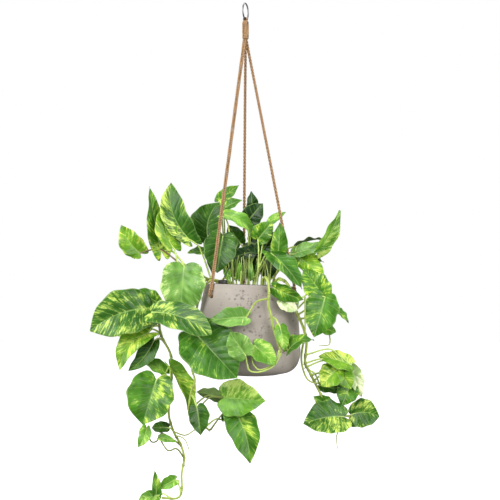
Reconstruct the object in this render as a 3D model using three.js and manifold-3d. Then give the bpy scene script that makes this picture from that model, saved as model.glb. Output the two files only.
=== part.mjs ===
// A golden pothos in its black nursery pot, set inside a cement planter that hangs from a metal
// ring on three doubled cords. Millimetres, +Z up, the front faces -Y. The origin is where the
// ring hangs: the top of the inside of the ring.
import * as THREE from "three";
import { mergeVertices } from "three/addons/utils/BufferGeometryUtils.js";
import Module from "manifold-3d";

const wasm = await Module();
wasm.setup();

// Driving dimensions
const GAP = 0.3; // left between pieces that touch
const SLIVER = 0.05; // joined solids lose the edges and the facets that are thinner than this
const RIM_DROP = 565; // from the hang point down to the middle of the planter's rim
const PLANTER_SHIFT = 9; // the trailing stems pull the planter this far from under the ring
const PLANTER_TILT = THREE.MathUtils.degToRad(2); // the planter hangs a little low on its right
const EYE_DISTANCE = 2400; // plant points are given as seen from this far in front of the rim

const RIM_RADIUS = 90;
const RIM_THICKNESS = 10.5;
const RIM_INNER_RADIUS = RIM_RADIUS - RIM_THICKNESS;
const BELLY_RADIUS = 105;
const PLANTER_HEIGHT = 180;
const PLANTER_FLOOR = 14;
const PLANTER_SEGMENTS = 28;

const NURSERY_LIP_RADIUS = 76;
const NURSERY_WALL_RADIUS = 72;
const NURSERY_FOOT_RADIUS = 55;
const NURSERY_WALL = 1.6;
const NURSERY_TOP = 1;
const LIP_HEIGHT = 11;
const SOIL_TOP = -7;
const SOIL_EDGE = -10;
const SOIL_CLEARANCE = 1.2; // all round, from the inside of the nursery pot's flat facets
const CLIP_AZIMUTH = -46;
const CLIP_WIDTH = 20;
const CLIP_TOP = 8;
const ROOT_DEPTH = 34; // the stems stand this deep in holes, below the level of the rim
const HOLE_BOTTOM = 2; // the holes go this much deeper than the stems

const CORD_DIAMETER = 5.6; // both strands of a doubled cord, twisted together
const CORD_HOLE_DIAMETER = 6.8;
const CORD_HOLE_DEPTH = 25; // below the rim
const CORD_AZIMUTHS = { left: -52, right: 68, back: 188 }; // degrees from the front, to the right
const CORD_SLOTS = { left: -7, right: 7, back: 0 }; // across the strap
const KNOT_RADIUS = 4;
const KNOT_AT_RADIUS = 78.5; // just inside the wall
// Where each cord turns up outside its hole: out from the planter's axis, and up from the hole
const CORD_BENDS = [
  [88, 0],
  [95.6, 0.8],
  [98.2, 6],
  [96.8, 14],
];
const CORD_OFF_RIM = 4; // the cords pass the rim this far out
const CORD_END = -44; // the cords end here between the strap's layers

const RING_WIRE = 3;
const RING_INNER_RADIUS = 14.7;
const RING_TURN = THREE.MathUtils.degToRad(71); // the plane of the ring, from the front plane
const STRAP_NECK = 9; // the strap's width where it is folded over the ring
const STRAP_LEATHER = 1.8;
const STRAP_FOLD = 1.1; // from the wire, which curves up inside the fold
const POCKET_TOP = -43.7; // the strap's layers are sewn together above this
const STRAP_CORNER = { wide: 2, high: 5 }; // cut off its lower corners
const STRAP_BOTTOM = -71;
const RIVET_HEIGHTS = { upper: -38, lower: -64 };
const RIVET_HEAD_RADIUS = 3;
const RIVET_PIN_RADIUS = 1.2;
const RIVET_HEAD_HEIGHT = 1.2;

const UP_Y = new THREE.Vector3(0, 1, 0);
const STEM_SIDES = 5;
const PETIOLE_RADIUS = 2;
const PETIOLE_SIDES = 3;
const PETIOLE_END = 0.27; // its radius inside the blade
const STALK_TURN = 1.3; // each stalk's section is turned this much more than the last one's, in radians
const BLADE_THICKNESS = 0.9;

const LEAF_DEFAULTS = {
  arch: 0.06,
  fold: 12,
  curl: 0,
  wave: 1.5,
  twist: 0,
  sweep: 0,
  lobe: 0.14,
  rise: 0.22,
  full: 0.3,
  via: [],
  small: false,
};

// A leaf: its name, where its stalk leaves the stem as a share of the stem's points, the base
// and tip of the blade, its full width, and the way its upper face looks.
function leaf(name, at, base, tip, width, face, options = {}) {
  return { ...LEAF_DEFAULTS, name, at, base, tip, width, face, ...options };
}

// The plant, in millimetres from the middle of the planter's rim: each stem's points from its root
// to its end, and its leaves.
const VINES = [
  {
    name: "vine_upper_left",
    radius: 2.4,
    stem: [
      [-60, -16, -34], [-60, -16, -8], [-66, -19, 6], [-82, -24, 11], [-100, -28, 22],
      [-120, -32, 36], [-144, -36, 42],
    ],
    leaves: [
      leaf("L1", 0.95, [-220, -30, 64], [-258, -36, 120], 46, [0.1, -1, 0.1], {
        fold: 10,
        sweep: -0.08,
        full: 0.6,
      }),
      leaf("L2", 0.9, [-178, -32, 68], [-201, -24, 198], 46, [0.5, -0.85, 0.1], {
        fold: 14,
        twist: -62,
        sweep: -0.05,
      }),
      leaf("L3", 1, [-156, -38, 78], [-170, -28, 162], 48, [0.4, -0.9, 0.1], {
        fold: 14,
        sweep: -0.12,
        full: 0.5,
      }),
      leaf("L4", 0.45, [-122, -30, 92], [-158, -18, 205], 56, [0.2, -1, 0.1], {
        fold: 18,
        sweep: -0.14,
        full: 1,
      }),
      leaf("L5", 0.975, [-132, -40, 38], [-139, -42, -62], 88, [0, -1, 0.25], {
        lobe: 0.08,
        full: 0.9,
      }),
    ],
  },
  {
    name: "vine_left_long",
    radius: 2.7,
    turn: 1.9,
    stem: [
      [-58, 8, -34], [-58, 8, -8], [-66, 6, 6], [-84, 2, 11], [-104, -8, -2], [-130, -20, -24],
      [-160, -26, -42], [-184, -28, -52], [-182, -30, -76], [-176, -30, -104], [-160, -30, -134],
      [-156, -34, -162], [-158, -34, -210], [-162, -34, -256], [-152, -34, -292],
      [-138, -34, -318], [-131, -36, -344], [-136, -38, -376], [-136, -40, -410],
      [-146, -42, -424], [-176, -44, -423],
    ],
    leaves: [
      leaf("L23", 0.32, [-200, -36, -46], [-320, -60, -92], 92, [0.1, -1, 0.2], {
        sweep: 0.08,
        lobe: 0.07,
        full: 1,
      }),
      leaf("L24", 0.3, [-186, -22, -34], [-232, -14, -10], 36, [0.3, -1, 0.2], { small: true }),
      leaf("L25", 0.35, [-196, -64, -54], [-76, -124, -98], 58, [0.25, -1, 0.3], {
        sweep: -0.06,
        lobe: 0.07,
        full: 1.7,
      }),
      leaf("L33", 0.375, [-188, -22, -58], [-216, -18, -96], 34, [-0.4, -1, 0.2], { small: true }),
      leaf("L29", 0.41, [-204, -40, -96], [-260, -50, -172], 48, [-0.4, -1, 0.1], {
        sweep: 0.16,
        full: 0.5,
      }),
      leaf("L30", 0.435, [-208, -30, -94], [-272, -22, -98], 40, [0, -0.9, 0.5], { small: true }),
      leaf("L31", 0.46, [-192, -32, -112], [-244, -40, -172], 38, [-0.2, -1, 0.2], { sweep: -0.1 }),
      leaf("L32", 0.55, [-168, -30, -176], [-222, -26, -146], 34, [0.2, -0.8, 0.6], { fold: 26 }),
      leaf("L34", 0.575, [-187, -52, -190], [-214, -76, -278], 92, [0.05, -1, 0.25], {
        lobe: 0.16,
        full: 1,
      }),
      leaf("L35", 0.6, [-159, -40, -164], [-118, -50, -276], 52, [0.7, -0.75, 0], {
        fold: 44,
        sweep: -0.05,
        full: 0.4,
      }),
      leaf("L41", 0.72, [-164, -30, -284], [-196, -26, -284], 25, [0, -0.9, 0.5], {
        wave: 0.6,
        full: 1,
        small: true,
      }),
      leaf("L42", 0.75, [-206, -36, -284], [-224, -44, -324], 28, [-0.3, -0.9, 0.3], {
        wave: 0.8,
        sweep: -0.12,
        small: true,
        via: [[-174, -34, -296], [-186, -38, -311], [-198, -40, -310]],
      }),
      leaf("L43", 0.8, [-180, -42, -304], [-146, -50, -313], 18, [0, -0.8, 0.6], {
        fold: 20,
        wave: 0.5,
        small: true,
        via: [[-146, -46, -326], [-164, -46, -329]],
      }),
      leaf("L45", 0.91, [-148, -36, -387], [-182, -40, -405], 26, [0, -0.9, 0.4], {
        wave: 0.8,
        full: 0.5,
        small: true,
      }),
      leaf("L44", 1, [-186, -44, -423], [-190, -40, -368], 22, [0.3, -1, 0], {
        fold: 30,
        wave: 0.8,
        small: true,
      }),
      leaf("L44b", 0.97, [-184, -46, -419], [-222, -56, -427], 28, [0, -0.9, 0.4], {
        wave: 0.8,
        full: 1,
        small: true,
      }),
    ],
  },
  {
    name: "vine_front_left",
    radius: 2.4,
    stem: [
      [-50, -34, -34], [-50, -34, -8], [-58, -37, 6], [-76, -43, 10], [-94, -46, -6],
      [-104, -40, -36], [-112, -36, -80], [-115, -48, -124], [-116, -68, -166], [-110, -72, -192],
      [-118, -72, -216], [-122, -70, -248], [-112, -70, -270], [-96, -68, -278], [-80, -68, -290],
    ],
    leaves: [
      leaf("L26", 0.5, [-108, -82, -98], [-26, -124, -186], 108, [0.05, -1, 0.15], {
        lobe: 0.2,
        rise: 0,
        full: 0.9,
      }),
      leaf("L36", 0.79, [-56, -66, -226], [-110, -56, -213], 32, [0, 0.85, 0.5]),
      leaf("L37", 0.83, [-52, -72, -224], [32, -88, -231], 74, [0, -1, 0.1], { full: 0.2 }),
      leaf("L38", 1, [-30, -74, -252], [0, -84, -356], 62, [0.1, -1, 0.1], { sweep: -0.07, full: 0.4 }),
      leaf("L39", 0.96, [-50, -66, -270], [-42, -64, -244], 18, [0, -1, 0], { small: true }),
      leaf("L40", 0.72, [-106, -76, -244], [-98, -80, -300], 42, [0.2, -1, 0], { small: true }),
    ],
  },
  {
    name: "vine_front",
    radius: 2.9,
    stem: [
      [24, -50, -34], [24, -50, -8], [26, -58, 10], [31, -76, 15], [36, -93, 6], [38, -99, -14],
      [37, -101, -40], [42, -103, -60], [46, -106, -82], [56, -107, -116], [63, -107, -134],
    ],
    leaves: [
      leaf("L27", 0.55, [-8, -107, -64], [-80, -102, -72], 42, [0, -0.9, 0.45], { full: 0.6 }),
      leaf("L28", 1, [-9, -126, -140], [-40, -132, -94], 48, [0, -1, 0], {
        arch: 0.02,
        fold: 6,
        full: 0.8,
        via: [[48, -112, -160], [22, -116, -173], [0, -116, -171], [-6, -119, -156]],
      }),
      leaf("L52", 0.96, [9, -111, -121], [52, -120, -160], 46, [0.3, -1, 0.3], {
        full: 0.5,
        via: [[45, -109, -158], [20, -111, -169], [7, -110, -158], [4, -110, -140]],
      }),
      leaf("L53", 0.72, [60, -106, -84], [70, -108, -132], 30, [0.3, -1, 0]),
      leaf("L54", 0.92, [76, -104, -130], [128, -96, -110], 44, [-0.3, -0.55, 0.85], { arch: 0.2 }),
    ],
  },
  {
    name: "vine_right",
    radius: 2.9,
    stem: [
      [46, -38, -34], [46, -38, -8], [52, -48, 8], [62, -62, 12], [76, -74, 0], [84, -82, -28],
      [92, -84, -52], [100, -82, -70], [108, -78, -90], [113, -70, -116], [110, -60, -154],
      [118, -52, -172], [132, -44, -200], [146, -38, -226], [162, -30, -244], [182, -26, -258],
      [200, -24, -262],
    ],
    leaves: [
      leaf("L50", 0.22, [48, -97, -6], [108, -98, -30], 34, [0.1, -0.9, -0.4], { full: 0.4 }),
      leaf("L51", 0.26, [62, -92, -30], [96, -92, -54], 30, [0, -1, 0], { small: true }),
      leaf("L46", 0.34, [146, -70, -22], [106, -60, 32], 54, [0.3, -0.9, -0.1], { full: 0.5 }),
      leaf("L47", 0.37, [150, -74, -24], [128, -88, -104], 68, [0.1, -1, 0.2], { full: 0.7 }),
      leaf("L48", 0.4, [172, -66, -50], [197, -66, -76], 28, [0.6, -0.5, 0.6], {
        wave: 0.6,
        small: true,
      }),
      leaf("L49", 0.43, [146, -62, -86], [172, -62, -94], 24, [0, -1, 0.2], {
        wave: 0.6,
        full: 0.6,
        small: true,
      }),
      leaf("L55", 0.6, [200, -40, -158], [136, -52, -142], 40, [0.1, -0.9, 0.5], { full: 0.6 }),
      leaf("L56", 0.63, [174, -48, -168], [142, -60, -202], 50, [0, -1, 0.3], { full: 0.8 }),
      leaf("L56c", 0.655, [178, -44, -168], [202, -52, -208], 40, [0, -1, 0.3], {
        full: 0.5,
        small: true,
      }),
      leaf("L57a", 0.68, [140, -40, -200], [196, -36, -206], 26, [0, -0.7, -0.6], { small: true }),
      leaf("L57", 0.705, [200, -34, -200], [182, -42, -242], 46, [0, -1, 0.2]),
      leaf("L58", 0.73, [202, -28, -166], [222, -34, -224], 34, [0.3, -1, 0]),
      leaf("L59", 0.86, [158, -36, -240], [126, -38, -222], 30, [0, -1, 0], { wave: 0.8, small: true }),
      leaf("L60", 0.93, [186, -40, -262], [106, -62, -277], 72, [0.1, -0.9, 0.45], {
        sweep: 0.04,
        lobe: 0.16,
        full: 0.8,
      }),
      leaf("L61", 1, [202, -26, -258], [258, -34, -262], 58, [0, -1, 0.1], {
        sweep: -0.12,
        lobe: 0.12,
        full: 1,
      }),
    ],
  },
  {
    name: "crown_left",
    radius: 2.4,
    stem: [
      [-44, 10, -34], [-44, 10, -8], [-46, 10, 16], [-50, 9, 30],
    ],
    leaves: [
      leaf("L6", 1, [-84, 4, 92], [-62, 0, 166], 68, [-0.2, -0.9, 0.3], { sweep: -0.12, full: 1 }),
      leaf("L8", 0.92, [-62, 20, 168], [-22, 24, 200], 30, [0.2, -0.8, 0.6], {
        wave: 0.8,
        small: true,
      }),
      leaf("L9", 0.84, [-54, 8, 152], [-16, 4, 170], 34, [0, -0.7, 0.7], { wave: 0.8, small: true }),
      leaf("Lx1", 0.74, [-86, -8, 66], [-126, -12, 64], 30, [0, -0.6, 0.8], { wave: 0.8, small: true }),
    ],
  },
  {
    name: "crown_left_front",
    radius: 2.4,
    stem: [
      [-34, -22, -34], [-34, -22, -8], [-34, -23, 14], [-33, -24, 26],
    ],
    leaves: [
      leaf("L7", 1, [-54, -30, 98], [-66, -42, 24], 68, [-0.1, -1, 0.3], { full: 0.6 }),
      leaf("L10", 0.88, [-50, -22, 140], [8, -12, 92], 42, [0.3, -0.7, 0.8], { arch: 0.2, full: 1 }),
      leaf("Lx2", 0.74, [-48, -36, 30], [-40, -46, 4], 14, [0, -1, 0], { small: true }),
      leaf("Y4", 0.62, [-24, -32, 12], [-21, -38, 50], 13, [0.3, -1, 0], {
        fold: 30,
        wave: 0.4,
        small: true,
      }),
    ],
  },
  {
    name: "crown_middle",
    radius: 2.4,
    stem: [
      [-4, 4, -34], [-4, 4, -8], [-3, 3, 16], [-2, 2, 36],
    ],
    leaves: [
      leaf("L11", 1, [4, 6, 150], [2, 4, 188], 26, [0.3, -1, 0.1], { small: true }),
      leaf("L12", 0.93, [-4, -2, 128], [26, -4, 164], 44, [0, -1, 0.2], { small: true }),
      leaf("D1", 0.86, [6, -6, 66], [-36, -10, 54], 34, [0, -0.8, 0.6], {
        wave: 0.8,
        full: 0.6,
        small: true,
      }),
      leaf("D2", 0.97, [-2, 6, 86], [42, 2, 66], 42, [0, -0.9, 0.4], {
        wave: 0.8,
        full: 0.6,
        small: true,
      }),
      leaf("D4", 0.9, [22, 14, 72], [8, 16, 38], 32, [0, -1, 0.1], {
        wave: 0.8,
        full: 0.8,
        small: true,
      }),
      leaf("D3", 0.8, [-20, 12, 84], [-44, 14, 120], 36, [-0.2, -1, 0.2], {
        wave: 0.8,
        full: 0.5,
        small: true,
      }),
      leaf("Y1", 0.7, [-22, -2, 16], [-30, -4, 54], 13, [0.3, -1, 0], {
        fold: 30,
        wave: 0.4,
        small: true,
      }),
      leaf("Y2", 0.64, [-10, 0, 14], [-8, -8, 56], 14, [-0.4, -1, 0], {
        fold: 30,
        wave: 0.4,
        small: true,
      }),
      leaf("Y3", 0.75, [10, 2, 12], [16, -4, 52], 14, [0.4, -1, 0], {
        fold: 30,
        wave: 0.4,
        small: true,
      }),
    ],
  },
  {
    name: "crown_right_front",
    radius: 2.4,
    stem: [
      [8, -30, -34], [8, -30, -8], [12, -31, 16], [18, -33, 30],
    ],
    leaves: [
      leaf("L13", 1, [16, -28, 92], [46, -34, 128], 42, [0.1, -1, 0.2]),
      leaf("L14", 0.93, [40, -14, 126], [72, -10, 146], 20, [0, -0.8, 0.5], { wave: 0.6, small: true }),
      leaf("L15", 0.86, [24, -20, 66], [50, -16, 106], 38, [-0.1, -1, 0.2], { full: 0.5, small: true }),
      leaf("L16", 0.8, [56, -34, 60], [60, -42, 126], 34, [0.1, -1, 0.1], { full: 0.4 }),
      leaf("Y5", 0.64, [4, -40, 12], [3, -46, 46], 13, [-0.3, -1, 0], {
        fold: 30,
        wave: 0.4,
        small: true,
      }),
      leaf("L17", 0.72, [42, -44, 64], [104, -84, -8], 58, [0.5, -0.8, 0.5]),
    ],
  },
  {
    name: "crown_right",
    radius: 2.4,
    stem: [
      [44, 2, -34], [44, 2, -8], [48, 1, 14], [54, 0, 26],
    ],
    leaves: [
      leaf("L18", 1, [86, -20, 62], [160, -34, 76], 34, [0, -0.8, 0.6], {
        fold: 16,
        lobe: 0.06,
        full: 0.7,
      }),
      leaf("L19", 0.94, [94, 10, 80], [146, 16, 92], 40, [0, 0.1, 1], { small: true }),
      leaf("L20", 0.88, [136, -30, 66], [180, -36, 150], 44, [0.8, -0.6, 0.2], { full: 0.6 }),
      leaf("L21", 0.82, [96, -4, 52], [148, -12, 46], 34, [0, -0.7, 0.7], { small: true }),
      leaf("L22", 0.76, [92, -10, 62], [152, -40, 4], 46, [-0.1, -0.8, 0.6]),
    ],
  },
  {
    name: "crown_back_left",
    radius: 2.4,
    stem: [
      [-18, 34, -34], [-18, 34, -8], [-19, 36, 14], [-21, 39, 26],
    ],
    leaves: [
      leaf("B1", 1, [-42, 54, 72], [-76, 96, 22], 68, [-0.5, 0.7, 0.6]),
      leaf("B2", 0.9, [30, 58, 92], [44, 110, 52], 56, [0.1, 0.8, 0.7]),
      leaf("B5", 0.8, [-34, 27, 64], [-28, 24, 8], 46, [0, -1, 0.15], { wave: 0.8, full: 0.6 }),
      leaf("B6", 0.7, [2, 28, 62], [6, 24, 8], 42, [0, -1, 0.15], { wave: 0.8, full: 0.6 }),
    ],
  },
  {
    name: "crown_back_right",
    radius: 2.4,
    stem: [
      [26, 30, -34], [26, 30, -8], [28, 32, 12], [31, 34, 24],
    ],
    leaves: [
      leaf("B3", 1, [38, 52, 72], [66, 100, 26], 66, [0.4, 0.8, 0.6]),
      leaf("B4", 0.9, [72, 36, 58], [116, 70, 28], 52, [0.5, 0.4, 0.8]),
      leaf("B7", 0.78, [36, 22, 58], [35, 19, 6], 40, [0, -1, 0.15], { wave: 0.8, full: 0.6 }),
    ],
  },
  {
    name: "vine_back_left",
    radius: 2.4,
    stem: [
      [-34, 40, -34], [-34, 40, -8], [-40, 48, 8], [-50, 62, 14], [-58, 76, 4], [-62, 86, -26],
      [-62, 94, -66], [-58, 99, -108], [-50, 98, -150],
    ],
    leaves: [
      leaf("BL1", 0.55, [-62, 104, -18], [-66, 130, -98], 74, [-0.2, 1, 0.3]),
      leaf("BL2", 0.78, [-34, 112, -70], [-18, 124, -150], 54, [0.1, 1, 0.2]),
      leaf("BL3", 0.9, [-72, 104, -106], [-66, 112, -168], 44, [-0.2, 1, 0.2]),
    ],
  },
  {
    name: "vine_back_right",
    radius: 2.4,
    stem: [
      [34, 44, -34], [34, 44, -8], [38, 52, 8], [46, 66, 14], [52, 80, 4], [54, 90, -26],
      [50, 98, -66], [44, 102, -108], [40, 100, -146],
    ],
    leaves: [
      leaf("BR1", 0.55, [58, 104, -12], [64, 128, -92], 72, [0.3, 1, 0.3]),
      leaf("BR2", 0.72, [30, 114, -58], [22, 126, -134], 50, [-0.1, 1, 0.2]),
      leaf("BR3", 0.88, [66, 104, -100], [58, 112, -164], 46, [0.2, 1, 0.2]),
    ],
  },
];

// Finishes
function finish(color, roughness, metalness = 0) {
  return new THREE.MeshStandardMaterial({ color, roughness, metalness });
}

const FINISHES = {
  cement: finish(0xada79d, 0.92),
  plastic: finish(0x17181a, 0.5),
  soil: finish(0x2b2019, 1),
  cord: finish(0x8f6a4f, 0.9),
  leather: finish(0xb98a5c, 0.7),
  metal: finish(0x9a9a9a, 0.25, 1),
  foliage: finish(0x4f8a1e, 0.45),
};

// Solids
function solidOf(geometry) {
  const bare = geometry.index ? geometry.toNonIndexed() : geometry.clone();
  bare.deleteAttribute("normal");
  bare.deleteAttribute("uv");
  const merged = mergeVertices(bare, 1e-4);
  const triVerts = new Uint32Array(merged.index.array);
  const vertProperties = new Float32Array(merged.attributes.position.array);
  const solid = new wasm.Manifold(new wasm.Mesh({ numProp: 3, vertProperties, triVerts }));
  if (solid.volume() >= 0) return solid;
  triVerts.reverse();
  return new wasm.Manifold(new wasm.Mesh({ numProp: 3, vertProperties, triVerts }));
}

function geometryOf(solid) {
  const mesh = solid.getMesh();
  const geometry = new THREE.BufferGeometry();
  geometry.setAttribute("position", new THREE.BufferAttribute(mesh.vertProperties, 3));
  geometry.setIndex(new THREE.BufferAttribute(mesh.triVerts, 1));
  geometry.computeVertexNormals();
  return geometry;
}

function piece(name, geometry, material) {
  const mesh = new THREE.Mesh(geometry, material);
  mesh.name = name;
  return mesh;
}

function lathe(profile, segments) {
  const points = profile.map(([radius, z]) => new THREE.Vector2(radius, z));
  return new THREE.LatheGeometry(points, segments).rotateX(Math.PI / 2);
}

function tube(path, radius, sides, steps) {
  const ring = [];
  for (let i = 0; i < sides; i += 1) {
    const angle = (2 * Math.PI * i) / sides;
    ring.push(new THREE.Vector2(radius * Math.cos(angle), radius * Math.sin(angle)));
  }
  const options = { steps, bevelEnabled: false, extrudePath: path };
  return new THREE.ExtrudeGeometry(new THREE.Shape(ring), options);
}

// A closed tube along a path, its section turned by an angle, its radius going from one end's to
// the other's.
function taperedTube(path, startRadius, endRadius, sides, steps, turn) {
  const frames = path.computeFrenetFrames(steps, false);
  const points = [];
  const index = [];
  for (let i = 0; i <= steps; i += 1) {
    const centre = path.getPointAt(i / steps);
    const radius = THREE.MathUtils.lerp(startRadius, endRadius, (i / steps) ** 3);
    for (let j = 0; j < sides; j += 1) {
      const angle = turn + (2 * Math.PI * j) / sides;
      const point = centre.clone().addScaledVector(frames.normals[i], radius * Math.cos(angle));
      point.addScaledVector(frames.binormals[i], radius * Math.sin(angle));
      points.push(...point.toArray());
      if (i === steps) continue;
      const here = i * sides + j;
      const next = i * sides + ((j + 1) % sides);
      index.push(here, next, next + sides, here, next + sides, here + sides);
    }
  }
  for (let j = 1; j < sides - 1; j += 1) {
    index.push(0, j + 1, j);
    index.push(steps * sides, steps * sides + j, steps * sides + j + 1);
  }
  const geometry = new THREE.BufferGeometry();
  geometry.setAttribute("position", new THREE.Float32BufferAttribute(points, 3));
  geometry.setIndex(index);
  return geometry;
}

// A smooth route through points, stepped evenly between each point and the next, so a bend with
// close points gets short steps and a straight run long ones.
class Route extends THREE.CatmullRomCurve3 {
  constructor(points) {
    super(points, false, "catmullrom", 0.5);
  }

  getUtoTmapping(share) {
    return share;
  }
}

// A point of the plant, given as it shows on the plane of the planter's axis, is carried along
// the line of sight to its own depth.
function seen([x, y, z]) {
  const reach = (EYE_DISTANCE + y) / EYE_DISTANCE;
  return new THREE.Vector3(x * reach, y, z * reach);
}

// Half width along the blade, as a share of the most: a narrow blade (full 0) is widest at 0.22 of
// its length and drawn out to a pointed tip; a full one (1) is widest at 0.34 and has a blunt tip.
function halfWidthShare(along, full) {
  const widest = 0.22 + 0.12 * full;
  if (along < widest) return 1 - 0.22 * (1 - along / widest) ** 2;
  const rest = (along - widest) / (1 - widest);
  return (1 - rest ** (1.9 + 0.5 * full)) ** (1.12 - 0.3 * full);
}

// The upper face of a heart-shaped blade at a share of its length and, from -1 to 1, of its half
// width. The lobes reach back past the base, the midrib bows by arch, the halves are raised by
// fold, their margins turn by curl, the blade turns by twist, and its margin ripples by wave.
function bladePoint(leaf, frame, along, across) {
  const width = Math.abs(across);
  const back = leaf.lobe * (1 - along) ** 2.5 * Math.abs(Math.sin(Math.PI * width)) ** 0.8;
  const reach = along - back;
  const bow = 4 * reach * (1 - reach);
  const half = 0.5 * leaf.width * halfWidthShare(along, leaf.full) * across;
  const lean = THREE.MathUtils.degToRad(leaf.fold + 0.5 * leaf.curl * width);
  const turn = THREE.MathUtils.degToRad(leaf.twist) * (reach - 0.4);
  const beat = 2 * Math.PI * 2.3 * along + frame.phase + 1.7 * Math.sign(across);
  const ripple = leaf.wave * width ** 1.5 * Math.sin(beat);
  const side = half * Math.cos(lean);
  const up = Math.abs(half) * Math.sin(lean) + ripple;
  const sideways = side * Math.cos(turn) - up * Math.sin(turn) + leaf.sweep * frame.length * bow;
  const upwards = side * Math.sin(turn) + up * Math.cos(turn) + leaf.arch * frame.length * bow;
  return frame.base
    .clone()
    .addScaledVector(frame.forward, reach * frame.length)
    .addScaledVector(frame.side, sideways)
    .addScaledVector(frame.normal, upwards);
}

function bladeFrame(leaf) {
  const base = seen(leaf.base);
  const forward = seen(leaf.tip).sub(base);
  const length = forward.length();
  forward.normalize();
  const side = forward.clone().cross(new THREE.Vector3(...leaf.face)).normalize();
  const normal = side.clone().cross(forward);
  const phase = [...leaf.name].reduce((sum, letter) => sum + letter.charCodeAt(0), 0);
  return { base, forward, side, normal, length, phase };
}

// The rows of the blade's grid, as shares of its length.
function bladeRows(leaf) {
  return leaf.small ? [0, 0.3, 0.65, 1] : [0, 0.16, 0.4, 0.68, 1];
}

// A closed blade: a grid for each face, split alike, and a rim round them.
function bladeGeometry(leaf) {
  const rows = bladeRows(leaf);
  const columns = leaf.small ? [-1, 0, 1] : [-1, -0.55, 0, 0.55, 1];
  const frame = bladeFrame(leaf);
  const faces = [[], []];
  const index = [];
  const last = rows.length - 1;
  const width = columns.length;
  rows.forEach((along, row) => {
    (row < last ? columns : [0]).forEach((across) => {
      const here = bladePoint(leaf, frame, along, across);
      const step = 0.02;
      const ahead = bladePoint(leaf, frame, Math.min(along + step, 1), across);
      const behind = bladePoint(leaf, frame, Math.max(along - step, 0), across);
      const right = bladePoint(leaf, frame, Math.min(along, 0.97), Math.min(across + 0.1, 1));
      const left = bladePoint(leaf, frame, Math.min(along, 0.97), Math.max(across - 0.1, -1));
      const normal = right.sub(left).cross(ahead.sub(behind)).normalize();
      faces[0].push(here);
      faces[1].push(here.clone().addScaledVector(normal, -BLADE_THICKNESS));
    });
  });
  const count = faces[0].length;
  const at = (row, column) => (row === last ? last * width : row * width + column);
  const both = (a, b, c) => index.push(a, b, c, count + a, count + c, count + b);
  for (let row = 0; row < last; row += 1) {
    for (let column = 0; column < width - 1; column += 1) {
      const near = at(row, column);
      const nearRight = at(row, column + 1);
      const far = at(row + 1, column);
      const farRight = at(row + 1, column + 1);
      if (row === last - 1) {
        both(near, nearRight, far);
      } else if (columns[column] < 0) {
        both(near, nearRight, farRight);
        both(near, farRight, far);
      } else {
        both(near, nearRight, far);
        both(nearRight, farRight, far);
      }
    }
  }
  const margin = [];
  for (let column = 0; column < width; column += 1) margin.push(at(0, column));
  for (let row = 1; row <= last; row += 1) margin.push(at(row, width - 1));
  for (let row = last - 1; row > 0; row -= 1) margin.push(at(row, 0));
  margin.forEach((from, i) => {
    const to = margin[(i + 1) % margin.length];
    index.push(from, count + from, count + to, from, count + to, to);
  });
  const points = [...faces[0], ...faces[1]].flatMap((point) => point.toArray());
  const geometry = new THREE.BufferGeometry();
  geometry.setAttribute("position", new THREE.Float32BufferAttribute(points, 3));
  geometry.setIndex(index);
  return geometry;
}

// A leaf stalk rises from the stem, arches over, or follows the points given for it, and tapers
// into the thickness of the blade at its base.
function stalkGeometry(leaf, start, turn) {
  const frame = bladeFrame(leaf);
  const base = frame.base.clone().addScaledVector(frame.normal, -BLADE_THICKNESS / 2);
  const rise = leaf.rise * start.distanceTo(base);
  const middle = start.clone().lerp(base, 0.5);
  middle.z += rise;
  const beside = middle.clone().lerp(base, 0.5);
  beside.z += 0.12 * rise;
  const way = leaf.via.length ? leaf.via.map(seen) : [middle, beside];
  const ahead = bladePoint(leaf, frame, bladeRows(leaf)[1], 0);
  ahead.addScaledVector(frame.normal, -BLADE_THICKNESS / 2);
  const inside = base.clone().lerp(ahead, 2.5 / base.distanceTo(ahead));
  const path = new Route([start, ...way, inside]);
  const steps = way.length + 1;
  return taperedTube(path, PETIOLE_RADIUS, PETIOLE_END, PETIOLE_SIDES, steps, turn);
}

// A stem with its stalks and blades, joined in one solid.
function vineSolid(vine) {
  const turn = vine.turn ?? STALK_TURN;
  const path = new Route(vine.stem.map(seen));
  const steps = vine.stem.length - 1;
  const parts = [solidOf(tube(path, vine.radius, STEM_SIDES, steps))];
  vine.leaves.forEach((each, index) => {
    parts.push(solidOf(stalkGeometry(each, path.getPoint(each.at), index * turn)));
    parts.push(solidOf(bladeGeometry(each)));
  });
  const whole = parts.reduce((sum, part) => sum.add(part)).asOriginal().simplify(SLIVER);
  const bodies = whole.decompose().filter((body) => body.volume() > 0); // fills sealed hollows
  return bodies.reduce((sum, body) => sum.add(body));
}

// Pieces
function makeRing() {
  const middle = RING_INNER_RADIUS + RING_WIRE / 2;
  const ring = new THREE.TorusGeometry(middle, RING_WIRE / 2, 6, 20).rotateX(Math.PI / 2);
  return ring.translate(0, 0, -RING_INNER_RADIUS);
}

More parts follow.
